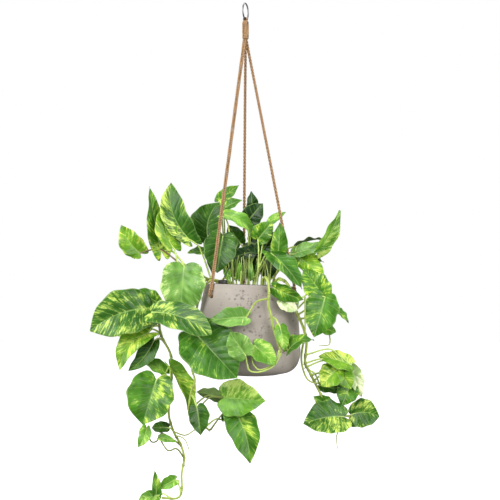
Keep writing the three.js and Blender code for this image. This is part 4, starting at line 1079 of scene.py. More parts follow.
@dataclass(frozen=True)
class LeatherFinish:
    """Natural tan leather: fine pores, darker where it is handled, with burnished edges."""

    pale: Color = (0.510, 0.305, 0.140)
    dark: Color = (0.360, 0.205, 0.095)
    edge: Color = (0.150, 0.070, 0.030)
    cloud_scale: float = 90.0
    pore_scale: float = 1300.0
    cloud_level: Range = (0.36, 0.68)
    pore_level: Range = (0.0, 0.08)
    pore_tone: float = 0.30
    roughness: Range = (0.52, 0.68)
    relief: Range = (0.0003, 0.6)

    def material(self) -> Material:
        """Builds the material."""
        shade = Shader("tan_leather", Specular_IOR_Level=0.35)
        place = shade.place()
        clouds = shade.noise(place, self.cloud_scale, 5.0, 0.6)
        pores = shade.cells(place, self.pore_scale, feature="DISTANCE_TO_EDGE")
        color = shade.mix(shade.between(clouds, self.cloud_level), self.dark, self.pale)
        color = shade.mix(shade.between(pores, self.pore_level, (self.pore_tone, 0.0)), color, self.dark)
        color = shade.mix(shade.value("edge"), color, self.edge)
        height = shade.plus(shade.between(pores, (0.0, 0.15)), shade.times(clouds, 0.6))
        rough = shade.between(clouds, (0.3, 0.7), self.roughness)
        return shade.finish(color, rough, shade.relief(height, *self.relief))


@dataclass(frozen=True)
class MetalFinish:
    """Polished steel with fine scratches along the wire."""

    bright: Color = (0.27, 0.27, 0.275)
    dull: Color = (0.16, 0.16, 0.165)
    cloud_scale: float = 160.0
    scratch_scale: float = 2200.0
    scratch_stretch: Point = (1.0, 1.0, 0.12)
    cloud_level: Range = (0.4, 0.7)
    scratch_level: Range = (0.4, 0.8)
    roughness: float = 0.30
    scratch_matt: float = 0.15  # how much rougher a scratch is
    relief: Range = (0.00004, 0.5)

    def material(self) -> Material:
        """Builds the material."""
        shade = Shader("polished_wire", Metallic=1.0)
        place = shade.place()
        clouds = shade.noise(place, self.cloud_scale)
        scratch = shade.noise(shade.stretched(place, self.scratch_stretch), self.scratch_scale, 2.0)
        color = shade.mix(shade.between(clouds, self.cloud_level), self.bright, self.dull)
        matt = shade.between(scratch, self.scratch_level, (0.0, self.scratch_matt))
        return shade.finish(color, shade.plus(self.roughness, matt), shade.relief(scratch, *self.relief))


@dataclass(frozen=True)
class PlasticFinish:
    """Black moulded plastic: satin, faintly pebbled, dusty with soil."""

    black: Color = (0.012, 0.012, 0.013)
    dust: Color = (0.060, 0.050, 0.040)
    dust_scale: float = 60.0
    pebble_scale: float = 1500.0
    dust_level: Range = (0.52, 0.75)
    dust_tone: float = 0.6
    roughness: Range = (0.34, 0.62)
    relief: Range = (0.0001, 0.5)

    def material(self) -> Material:
        """Builds the material."""
        shade = Shader("black_plastic", Specular_IOR_Level=0.5)
        place = shade.place()
        dusty = shade.noise(place, self.dust_scale, 6.0, 0.65)
        pebble = shade.noise(place, self.pebble_scale, 2.0)
        color = shade.mix(shade.between(dusty, self.dust_level, (0.0, self.dust_tone)), self.black, self.dust)
        rough = shade.between(dusty, (0.4, 0.7), self.roughness)
        return shade.finish(color, rough, shade.relief(pebble, *self.relief))


@dataclass(frozen=True)
class SoilFinish:
    """Damp potting mix: dark peat with lighter bits of bark, and pale grains of perlite."""

    peat: Color = (0.018, 0.011, 0.007)
    bark: Color = (0.105, 0.060, 0.032)
    grit: Color = (0.70, 0.68, 0.62)
    crumb_scale: float = 420.0
    bit_scale: float = 260.0
    bit_level: Range = (0.50, 0.68)
    roughness: float = 0.92
    relief: Range = (0.0012, 0.9)

    def material(self) -> Material:
        """Builds the material."""
        shade = Shader("potting_mix", Specular_IOR_Level=0.2)
        place = shade.place()
        crumbs = shade.cells(place, self.crumb_scale)
        bits = shade.noise(place, self.bit_scale, 4.0, 0.7)
        color = shade.mix(shade.between(bits, self.bit_level), self.peat, self.bark)
        color = shade.mix(shade.value("grit"), color, self.grit)
        height = shade.plus(bits, shade.math("SUBTRACT", 1.0, crumbs))
        return shade.finish(color, self.roughness, shade.relief(height, *self.relief))


class Blade:
    """The surface of one heart-shaped leaf blade.

    A place is given by its share of the length, along, and of the half width, across, from -1 to 1. The
    lobes reach back past the base: reach = along - lobe (1 - along)^2.5 |sin(pi across)|^0.8. The midrib
    bows by arch and sweep times 4 reach (1 - reach). The halves are raised by the fold, turned by the
    twist, and ripple towards the margin.
    """

    VEINS = 8.0  # side veins in each half
    FINE_FROM = 60.0  # a blade longer than this has the fine grid
    FINE_GRID, SMALL_GRID = (50, 37), (30, 25)
    SMALL_VEINS = 0.75  # the share of the side veins that a small blade has
    SWELLS, RIPPLES = 2.7, 2.3  # waves of the outline, and of the margin's height, along a blade
    SWELL = 0.04  # the outline's wave as a share of the half width
    QUILT = 0.0100  # the swell between two veins and the broad lumps, as shares of the width
    LUMPS = 0.028
    LUMP_SIZE = 17.0
    GROOVE = 0.45  # how deep the midrib lies in the upper face
    MARGIN, RIB, THINNING = 0.42, 0.9, 0.12  # the thickness, more at the midrib and less at the margin
    COVER_STEP = 0.34  # how much the splashes' level rises from no cover to a full one

    def __init__(self, leaf: Leaf) -> None:
        """Works out the blade's own directions."""
        self.leaf = leaf
        base, tip = seen(leaf.base), seen(leaf.tip)
        self.base = base
        self.length = float(np.linalg.norm(tip - base))
        self.forward = (tip - base) / self.length
        self.side = unit(np.cross(self.forward, np.array(leaf.face, float)))
        self.normal = np.cross(self.side, self.forward)
        self.phase = sum(map(ord, leaf.name))
        rng = np.random.default_rng(self.phase)
        self.seed = rng.uniform(0, 60)
        self.skew = rng.uniform(-0.05, 0.05)
        self.widest = 0.22 + 0.12 * leaf.full

    def share(self, along: Array) -> Array:
        """The half width at a share of the length: all of it at the widest place, then down to the tip."""
        full = self.leaf.full
        rest = np.clip((along - self.widest) / (1 - self.widest), 0, 1)
        head = 1 - 0.22 * (1 - np.minimum(along, self.widest) / self.widest) ** 2
        tail = (1 - rest ** (1.9 + 0.5 * full)) ** (1.12 - 0.3 * full)
        return np.where(along < self.widest, head, tail * (1 - 0.35 * rest**7))

    def reach(self, along: Array, across: Array) -> Array:
        """How far along the midrib's line a place is, with the lobes reaching back."""
        back = self.leaf.lobe * (1 - along) ** 2.5 * np.abs(np.sin(math.pi * across)) ** 0.8
        return along - back

    def surface(self, along: Array, across: Array) -> Array:
        """Places on the smooth upper face."""
        leaf, half_sign = self.leaf, np.sign(across)
        reach = self.reach(along, across)
        bow = 4 * reach * (1 - reach)
        half = 0.5 * leaf.width * np.maximum(self.share(along), 0.006) * across * (1 + self.skew * half_sign)
        swell = np.sin(2 * math.pi * self.SWELLS * along + self.seed + 2.1 * half_sign)
        half = half * (1 + self.SWELL * across**2 * swell)
        lean = math.radians(leaf.fold)
        turn = np.radians(leaf.twist) * (reach - 0.4)
        beat = 2 * math.pi * self.RIPPLES * along + self.phase + 1.7 * half_sign
        ripple = 1.3 * leaf.wave * np.abs(across) ** 1.5 * np.sin(beat)
        side = half * math.cos(lean)
        up = np.abs(half) * math.sin(lean) + ripple
        sideways = side * np.cos(turn) - up * np.sin(turn) + leaf.sweep * self.length * bow
        upwards = side * np.sin(turn) + up * np.cos(turn) + leaf.arch * self.length * bow
        return (
            self.base
            + (reach * self.length)[..., None] * self.forward
            + sideways[..., None] * self.side
            + upwards[..., None] * self.normal
        )

    def vein_place(self, along: Array, across: Array) -> tuple[Array, Array]:
        """Where the side vein through a place leaves the midrib, and how far out the place is.

        Side veins lean forward as they go out: reach = start + (0.02 + 0.6 start) e, where e is the
        distance from the midrib as a share of the widest half, plus 0.3 of its square.

        Args:
            along: Shares of the length.
            across: Shares of the half width.

        Returns:
            The start as a share of the length, and the signed distance from the midrib in millimetres.
        """
        wide = self.share(along) * np.abs(across)
        out = wide + 0.3 * wide**2
        start = (self.reach(along, across) - 0.02 * out) / (1 + 0.6 * out)
        return start, 0.5 * self.leaf.width * self.share(along) * across

    def add_to(self, skin: Skin) -> None:
        """Adds the blade: two faces in relief, thicker along the midrib, and a thin margin."""
        leaf = self.leaf
        fine = self.length > self.FINE_FROM
        rows, columns = self.FINE_GRID if fine else self.SMALL_GRID
        # rows crowd a little towards the tip, and columns towards the midrib
        along = (1 - (1 - np.linspace(0, 1, rows)) ** 1.15)[:, None]
        step = np.linspace(-1, 1, columns)
        across = (np.sign(step) * np.abs(step) ** 1.3)[None, :]
        along, across = np.broadcast_arrays(along, across)
        outer = np.abs(across)
        smooth = self.surface(along, across)
        normal = self.facing(along, across)
        start, out = self.vein_place(along, across)
        lay = np.stack([start * self.length, out, 0 * out + self.seed], axis=-1)
        distance = np.abs(out)
        beat = start * self.VEINS * (1.0 if fine else self.SMALL_VEINS) + np.where(across > 0, 0.5, 0.0)
        inner = np.clip(distance / (0.12 * leaf.width), 0, 1)
        vein = inner * np.clip((1 - outer) / 0.25, 0, 1) ** 0.7
        quilt = self.QUILT * leaf.width * np.sin(math.pi * beat) ** 2 * vein * np.sqrt(self.share(along))
        groove = self.GROOVE * np.exp(-((distance / 1.1) ** 2)) * (1 - along) ** 0.25
        lumps = unevenness(lay, self.LUMP_SIZE, self.phase)
        raised = quilt - groove + self.LUMPS * leaf.width * lumps * outer**0.5 * (1 - along)
        rib = self.RIB * np.exp(-((distance / 1.3) ** 2)) * (1 - along) ** 1.5
        thick = self.MARGIN + rib - self.THINNING * outer
        upper = smooth + raised[..., None] * normal
        lower = upper - thick[..., None] * normal
        green, splash, cover = leaf.look.value
        more = leaf.bias * np.sign(across) + leaf.border * (2 * across**2 - 0.8)
        values = {
            "lay": lay,
            "green": green,
            "splash": splash,
            "cover": (cover + more - 0.5) * self.COVER_STEP,
            "beat": beat,
            "vein": vein,
            "rib": np.clip(1.4 - distance / (0.35 + 1.0 * (1 - along)), 0, 1) * (1 - 0.4 * along),
            "rim": np.clip((outer - 0.965) / 0.02, 0, 1),
        }
        skin.add_shell(upper, lower, values)

    def facing(self, along: Array, across: Array) -> Array:
        """The way the upper face looks at each place, from places just beside it."""
        step = 0.01
        before, after = np.maximum(along - step, 0), np.minimum(along + step, 1)
        ahead = self.surface(after, across) - self.surface(before, across)
        inward = np.minimum(along, 0.97)
        right = self.surface(inward, np.minimum(across + 0.05, 1))
        left = self.surface(inward, np.maximum(across - 0.05, -1))
        return unit(np.cross(right - left, ahead))


def laid(run: Array, girth: float, sides: int, seed: float) -> Array:
    """How far round and how far along a tube each of its points lies, rolled out flat, and its seed."""
    around, along = np.meshgrid(np.linspace(0, girth, sides), run)
    return np.stack([around, along, np.full_like(along, seed)], axis=-1)


class Plant:
    """The golden pothos: its stems, stalks and leaves, one pair of pieces for each stem."""

    STEM_SIDES, STALK_SIDES, SHOOT_SIDES, NUB_SIDES = 12, 10, 8, 6
    RING_STEP, STALK_STEP = 1.6, 1.8  # between rings of vertices along a stem or shoot, and along a stalk
    LONG_STEM, NODE_STEP = 90.0, 44.0  # a stem longer than this has bare nodes, this far apart
    FIRST_NODE, LAST_NODE, NODE_SHIFT = 18.0, 10.0, 8.0  # from the root, from the end, and by chance
    NODE_REACH, SCAR_REACH, SCAR_FROM = 3.2, 1.0, 1.6  # of a node's swelling, and of the scar beside it
    TAPER, SWELLING = 0.16, 0.24  # as shares of the radius
    NUBS_FROM, NUB_CHANCE = 60.0, 0.6  # past this length of stem, a node has a root's stub by this chance
    NUB_LENGTH = (4.0, 8.0)
    STALK, STALK_FOOT, STALK_TAPER = 1.75, 0.55, 0.45  # its radius, more at its foot, less at the blade
    UNDER_AT = (0.0, 0.06, 0.14)  # shares of the blade's length at which the stalk runs on under it
    UNDER_BY = (1.15, 1.0, 0.55)  # how far its middle lies below the upper face there
    HIDDEN = 0.16  # the share of the blade's length over which it thins out

    def __init__(self, vines: Sequence[Vine]) -> None:
        """Keeps the vines and makes the two finishes."""
        self.vines = vines
        self.leaf_material = LeafFinish().material()
        self.stem_material = StemFinish().material()

    def build(self) -> None:
        """Builds the leaves and the stems of each vine."""
        for vine in self.vines:
            leaves, stems = Skin(), Skin()
            route = Route(seen(vine.stem))
            self.add_stem(stems, vine, route)
            for leaf in vine.leaves:
                blade = Blade(leaf)
                blade.add_to(leaves)
                self.add_stalk(stems, blade, route.at(leaf.at))
            for points, radius in zip(vine.tendrils, vine.shoots):
                self.add_tendril(stems, vine, points, radius)
            place(leaves.build(f"{vine.name}_leaves", self.leaf_material), "foliage", vine.name)
            place(stems.build(f"{vine.name}_stems", self.stem_material), "foliage", vine.name)

    def add_stem(self, skin: Skin, vine: Vine, route: Route) -> None:
        """Adds a stem that swells at its nodes and tapers a little, with brown scars and root nubs."""
        line, share = route.even(self.RING_STEP)
        run = route.length_at(share)
        rng = np.random.default_rng(sum(map(ord, vine.name)))
        knots = np.interp([leaf.at for leaf in vine.leaves], share, run)
        if run[-1] > self.LONG_STEM:
            bare = np.arange(self.FIRST_NODE, run[-1] - self.LAST_NODE, self.NODE_STEP)
            knots = np.concatenate([knots, bare + rng.uniform(-self.NODE_SHIFT, self.NODE_SHIFT)])
        away = np.abs(run[:, None] - knots[None, :])
        swell = np.exp(-((away / self.NODE_REACH) ** 2)).max(axis=1)
        scar = np.exp(-(((away - self.SCAR_FROM) / self.SCAR_REACH) ** 2)).max(axis=1)
        radius = vine.radius * (0.94 - self.TAPER * share + self.SWELLING * swell)
        radius = radius * round_ends(share, 2.0 / run[-1])
        values = {
            "lay": laid(run, 2 * math.pi * vine.radius, self.STEM_SIDES, rng.uniform(0, 60)),
            "green": vine.bark.value,
            "scar": np.clip(scar, 0, 1)[:, None] * 0.45,
        }
        skin.add_tube(line, radius, self.STEM_SIDES, values)
        for knot in knots[knots > self.NUBS_FROM]:
            if rng.random() < self.NUB_CHANCE:
                self.add_nub(skin, line, run, float(knot), vine.radius, rng)

    def add_nub(
        self, skin: Skin, line: Array, run: Array, knot: float, radius: float, rng: np.random.Generator
    ) -> None:
        """Adds the stub of a root beside a node, 4 to 8 mm long, pointing down and out.

        Args:
            skin: What it is added to.
            line: Places along the stem.
            run: The distance along the stem at each place.
            knot: The node's distance along the stem.
            radius: The stem's radius.
            rng: Draws the stub's direction and length.
        """
        at = int(np.argmin(np.abs(run - knot)))
        first, second = side_vectors(line[max(at - 2, 0) : at + 3])
        angle = rng.uniform(0, 2 * math.pi)
        out = unit(first[1] * math.cos(angle) + second[1] * math.sin(angle) + np.array([0, 0, -0.6]))
        length = rng.uniform(*self.NUB_LENGTH)
        step = np.linspace(0, 1, 6)
        path = line[at] + out * radius * 0.5 + np.outer(step, out * length) + np.outer(step**2, [0, 0, -1.2])
        values = {"lay": np.array([1.0, 2.0, 3.0]), "green": Bark.BROWN.value, "scar": 0.6}
        skin.add_tube(path, np.linspace(0.85, 0.25, 6), self.NUB_SIDES, values)

    def add_stalk(self, skin: Skin, blade: Blade, start: Array) -> None:
        """Adds a leaf stalk from the stem to under the blade, where it runs out along the midrib."""
        leaf, base = blade.leaf, blade.base
        rise = leaf.rise * np.linalg.norm(base - start)
        middle = 0.5 * (start + base) + np.array([0, 0, rise])
        beside = 0.5 * (middle + base) + np.array([0, 0, 0.12 * rise])
        way = seen(leaf.via) if leaf.via else np.stack([middle, beside])
        along = np.array(self.UNDER_AT)
        under = blade.surface(along, 0 * along) - np.array(self.UNDER_BY)[:, None] * blade.normal
        route = Route(np.vstack([start, way, under]))
        line, share = route.even(self.STALK_STEP)
        run = route.length_at(share)
        left = run[-1] - run
        hidden = self.HIDDEN * blade.length
        body = self.STALK + self.STALK_FOOT * np.exp(-run / 6) - self.STALK_TAPER * run / run[-1]
        joint = 0.25 * np.exp(-(((left - hidden - 6) / 5) ** 2))
        size = (body + joint) * np.clip(left / (hidden + 1), 0.2, 1) ** 0.6 * round_ends(share, 1.5 / run[-1])
        values = {
            "lay": laid(run, 9.0, self.STALK_SIDES, blade.seed),
            "green": leaf.stalk.value,
            "scar": (0.7 * np.exp(-((run / 2.5) ** 2)))[:, None],
        }
        skin.add_tube(line, size, self.STALK_SIDES, values)

    def add_tendril(self, skin: Skin, vine: Vine, points: Sequence[Point], radius: float) -> None:
        """Adds a thin bare shoot that ends in a fine tip."""
        line, share = Route(seen(points)).even(self.RING_STEP)
        size = radius * (1 - 0.45 * share) * round_ends(share, 0.02)
        lay = laid(60 * share, 5.0, self.SHOOT_SIDES, len(points))
        skin.add_tube(line, size, self.SHOOT_SIDES, {"lay": lay, "green": vine.bark.value, "scar": 0.15})


@dataclass
class Hanger:
    """The ring, the strap folded over it, and the rivets through the strap, in millimetres."""

    turn: float = math.radians(71)
    wire: float = 3.0
    inner: float = 14.7  # the radius of the ring's inside
    width: float = 23.5
    neck: float = 9.0  # the strap's width over the ring
    leather: float = 1.8
    bottom: float = -71.0
    rivets: tuple[float, float] = (-38.0, -64.0)
    cord: float = 5.6
    stitch: float = 3.6  # from one stitch to the next
    thread: float = 0.42  # the radius of the thread
    pin: float = 1.2  # the radius of a rivet's pin
    head: float = 3.0  # the radius of its head
    head_rim: float = 0.35
    head_dome: float = 1.1
    play: float = 1.1  # between the wire and the strap's fold
    ring_sides: tuple[int, int] = (96, 20)  # round the ring and round its wire

    @property
    def seat(self) -> float:
        """The height of the wire's middle at the bottom of the ring."""
        return -2 * self.inner - self.wire / 2

    @property
    def layers(self) -> float:
        """Half the strap's thickness round the cords."""
        return self.cord / 2 + 0.15 + self.leather

    def turned_in(self, points: Array) -> Array:
        """Places of the hanger, turned about Z as it hangs."""
        cosine, sine = math.cos(self.turn), math.sin(self.turn)
        x, y, z = points[..., 0], points[..., 1], points[..., 2]
        return np.stack([x * cosine - y * sine, x * sine + y * cosine, z], axis=-1)

    def build(self) -> None:
        """Builds the three kinds of piece."""
        metal = MetalFinish().material()
        place(self.ring(metal), "ring_metal", "hanging_ring")
        place(self.strap(LeatherFinish().material()), "strap_leather", "leather_strap")
        for name, height in zip(("rivet_upper", "rivet_lower"), self.rivets):
            place(self.rivet(f"{name}_head", height, metal), "ring_metal", name)

    def ring(self, metal: Material) -> Piece:
        """A round wire bent into a ring: a circle of angle b carried round a circle of angle a."""
        skin = Skin()
        rounds, sides = self.ring_sides
        big = np.linspace(0, 2 * math.pi, rounds, endpoint=False)[:, None]
        small = np.linspace(0, 2 * math.pi, sides, endpoint=False)[None, :]
        half = self.wire / 2
        radius = self.inner + half + half * np.cos(small)
        flat = [radius * np.cos(big), half * np.sin(small) + 0 * big, radius * np.sin(big) - self.inner]
        skin.add_grid(self.turned_in(np.stack(flat, axis=-1)), around=True, flip=True)
        first = np.arange(sides)
        last = (rounds - 1) * sides + first
        skin.add_faces(np.stack([last, first, np.roll(first, -1), np.roll(last, -1)], axis=1))
        return skin.build("hanging_ring_wire", metal)

    def strap(self, leather: Material) -> Piece:
        """A strip of leather folded over the wire and sewn up along both edges, round the cords."""
        skin = Skin()
        self.add_fold(skin)
        self.add_sleeve(skin)
        for side in (-1, 1):
            self.add_stitches(skin, side)
        return skin.build("leather_strap_folded", leather)

    def add_fold(self, skin: Skin) -> None:
        """Adds the neck over the wire: a strip's section is carried up one side and down the other."""
        fold = self.wire / 2 + self.play + self.leather / 2
        bend = np.linspace(-0.5, math.pi + 0.5, 40)
        middle = np.stack([fold * np.cos(bend), self.seat + fold * np.sin(bend)], axis=1)
        out = np.stack([np.cos(bend), np.sin(bend)], axis=1)
        flat, thick = squared(36, 0.35, 0.45)
        cushion = self.leather / 2 * (1 - 0.10 * flat[None, :] ** 2) * thick[None, :] + 0 * middle[:, :1]
        across = self.neck / 2 * flat[None, :] + 0 * cushion
        grid = np.stack(
            [across, middle[:, :1] + out[:, :1] * cushion, middle[:, 1:] + out[:, 1:] * cushion], axis=-1
        )
        edge = np.clip((np.abs(flat) - 0.93) / 0.05, 0, 1)[None, :] * 0.7 + 0 * cushion
        skin.add_solid(self.turned_in(grid), {"edge": edge})

    def add_sleeve(self, skin: Skin) -> None:
        """Adds the sleeve: a flat section with round ends, from the slanting bottom up to under the wire.

        At angle a the section's point is half the width times cos a, and half the thickness times sin a,
        each raised to a power that squares it up; a crease runs up the edge that is sewn.
        """
        rows = 90
        shoulder = self.rivets[0] - 2
        height = np.linspace(self.bottom, self.seat - 1.6, rows)
        top = self.wire / 2 + self.play + self.leather
        corners = [self.bottom, self.bottom + 4, shoulder, self.seat - 1]
        wide = np.interp(height, corners, [self.width - 4, self.width, self.width, self.neck + 1]) / 2
        deep = np.interp(height, [self.bottom, shoulder, self.seat], [self.layers, self.layers, top])
        row = np.arange(rows)
        tuck = np.sqrt(np.clip(np.minimum(row, row[::-1] * 0.6) / 2.5, 0.25, 1))
        along, across = squared(96, 0.62, 0.80)
        seam = 1 - 0.07 * np.exp(-((across / 0.10) ** 2))
        x = (wide * tuck)[:, None] * (along * seam)[None, :]
        y = (deep * tuck)[:, None] * across[None, :]
        grid = np.stack([x, y, height[:, None] + 0 * across[None, :]], axis=-1)
        lumps = 1 + 0.05 * unevenness(grid, 8.0, 5) + 0.02 * unevenness(grid, 2.5, 6)
        grid[..., :2] *= lumps[..., None]
        grid[:, :, 2] += np.clip((self.bottom + 12 - height) / 12, 0, 1)[:, None] * 0.12 * grid[..., 0]
        crease = np.exp(-((across / 0.12) ** 2)) * 0.75
        worn = np.clip(0.5 + 0.5 * unevenness(grid, 3.0, 7), 0, 1)
        ends = np.clip(1 - np.minimum(row, row[::-1]) / 3, 0, 1)[:, None]
        edge = np.maximum(crease[None, :] * worn, ends * 0.8)
        skin.add_solid(self.turned_in(grid), {"edge": edge})

    def add_stitches(self, skin: Skin, side: int) -> None:
        """Adds the dark thread that is whipped over one sewn edge, in short slanting stitches."""
        steps = 12
        bend = np.linspace(-0.9, 0.9, steps)
        size = self.thread * round_ends(np.linspace(0, 1, steps), 0.1)
        out = side * (self.width / 2 - 2.0 + 2.1 * np.cos(bend))
        for index, height in enumerate(np.arange(self.bottom + 5, self.rivets[0] - 3, self.stitch)):
            slant = height + 0.9 * bend * side + 0.2 * (index % 3)
            line = np.stack([out, self.layers * 0.62 * np.sin(bend), slant], axis=1)
            skin.add_solid(self.turned_in(swept(line, size, 8)), {"edge": 1.0})

    def rivet(self, name: str, height: float, metal: Material) -> Piece:
        """A pin with a domed head on each face of the strap: a profile of radius and distance, turned."""
        face = self.layers + 0.1
        bend = np.linspace(0, math.pi / 2, 9)
        dome = face + self.head_rim + self.head_dome * np.sin(bend)
        head = np.stack([self.head * np.cos(bend), dome], axis=1)[:-1]
        profile = np.vstack([[(self.pin, 0.0), (self.pin, face), (self.head - 0.1, face)], head])
        mirrored = profile[::-1] * [1, -1]
        grid = turned(np.vstack([mirrored[:-1], profile]), 32)
        grid = np.stack([grid[..., 0], grid[..., 2], grid[..., 1] + height], axis=-1)
        skin = Skin()
        skin.add_solid(self.turned_in(grid), flip=True)
        return skin.build(name, metal)


def squared(sides: int, flat: float, thick: float) -> tuple[Array, Array]:
    """The cosine and the sine of each angle round a section, each raised to a power but for its sign."""
    angle = np.linspace(0, 2 * math.pi, sides, endpoint=False)
    cosine, sine = np.cos(angle), np.sin(angle)
    return np.sign(cosine) * np.abs(cosine) ** flat, np.sign(sine) * np.abs(sine) ** thick


@dataclass
class Cords:
    """Three doubled cords, each twisted from two strands, knotted inside the planter's wall."""

    azimuths: Point = (-52, 68, 188)  # in degrees from the front, to the right
    slots: Point = (-7.0, 7.0, 0.0)  # where each lies in the strap, across its width
    strand: float = 1.75
    offset: float = 1.35  # from a strand's middle to the cord's
    spread: float = 1.8  # the same in the left cord, whose strands lie side by side
    pitch: float = 13.0  # over which a strand winds once round the cord
    step: float = 1.1  # between rings of vertices along a strand
    knot: float = 2.1  # the radius of the knot's winding
    knot_strand: float = 1.7
    knot_half: float = 1.6  # half the way over which it is wound
    hole_depth: float = 25.0
    # radius and height of places from the knot out through the wall and up beside the rim
    way_out: Corners = ((78.5, -25), (88, -25), (95.6, -24.2), (98.2, -19), (96.8, -11))
    sides: int = 12  # round a strand and round a knot

    def build(self, hanger: Hanger, planter: "Planter") -> None:
        """Builds the three cords."""
        material = CordFinish().material()
        for name, azimuth, slot in zip(("left", "right", "back"), self.azimuths, self.slots):
            skin = Skin()
            self.add_cord(skin, azimuth, slot, hanger, planter, beside=name == "left")
            place(skin.build(f"cord_{name}_twisted", material), "cord", f"cord_{name}")

    def add_cord(
        self, skin: Skin, azimuth: float, slot: float, hanger: Hanger, planter: "Planter", beside: bool
    ) -> None:
        """Adds one doubled cord: out through its hole, up past the rim and straight to the strap.

        Each strand's middle winds round the cord's middle line once in a pitch, half a turn apart. Strands
        that lie beside each other hardly wind, and are seen side by side from the front.

        Args:
            skin: What it is added to.
            azimuth: Where it goes through the wall.
            slot: Where it lies in the strap.
            hanger: The hanger that it goes up to.
            planter: The planter that it holds.
            beside: Whether its strands lie side by side.
        """
        out = outward(azimuth)
        near = (*self.way_out, (planter.rim + 4, 1))
        low = in_planter(np.array([out * radius + [0, 0, height] for radius, height in near]))
        heights = (hanger.bottom - 3, hanger.bottom + 8, -44.0)
        top = hanger.turned_in(np.array([[slot, 0, height] for height in heights]))
        throat, rim = top[0], low[-1]
        between = np.array([rim + (throat - rim) * share for share in (0.33, 0.67)])
        route = Route(np.vstack([low, between, top]))
        line, share = route.even(self.step)
        run = route.length_at(share)
        first, second = side_vectors(line)
        turn = 2 * math.pi * run / self.pitch + math.radians(azimuth)
        if beside:
            turn = np.arctan2(second[:, 0], first[:, 0]) + 0.5 * np.sin(2 * math.pi * run / 90)
        offset = self.spread if beside else self.offset
        # painted shade on the cord in its hole, fading out over its first 24 mm
        dark = np.where(run < 12, 0.9, np.clip(1 - run / 24, 0, 1) ** 0.7 * 0.6)
        radius = self.strand * round_ends(share, 1.0 / run[-1])
        for half in (0.0, math.pi):
            way = first * np.cos(turn + half)[:, None] + second * np.sin(turn + half)[:, None]
            skin.add_tube(line + offset * way, radius, self.sides, {"end": dark[:, None]}, run[-1])
        self.add_knot(skin, line[0], out)

    def add_knot(self, skin: Skin, middle: Array, out: Array) -> None:
        """Adds the knot inside the wall: a cord wound once and a half round itself."""
        steps = 60
        turn = np.linspace(0, 3 * math.pi, steps)
        across, up = np.array([-out[1], out[0], 0.0]), np.array([0.0, 0.0, 1.0])
        circle = np.cos(turn)[:, None] * across + np.sin(turn)[:, None] * up
        wound = np.linspace(-self.knot_half, self.knot_half, steps)
        line = middle + self.knot * circle + np.outer(wound, out)
        size = self.knot_strand * round_ends(np.linspace(0, 1, steps), 0.06)
        # painted shade on the knot, which lies inside the wall
        skin.add_tube(line, size, self.sides, {"end": 0.5}, 20.0)


def outward(azimuth: float) -> Array:
    """The direction away from the planter's axis at an azimuth in degrees from the front, to the right."""
    angle = math.radians(azimuth)
    return np.array([math.sin(angle), -math.cos(angle), 0.0])


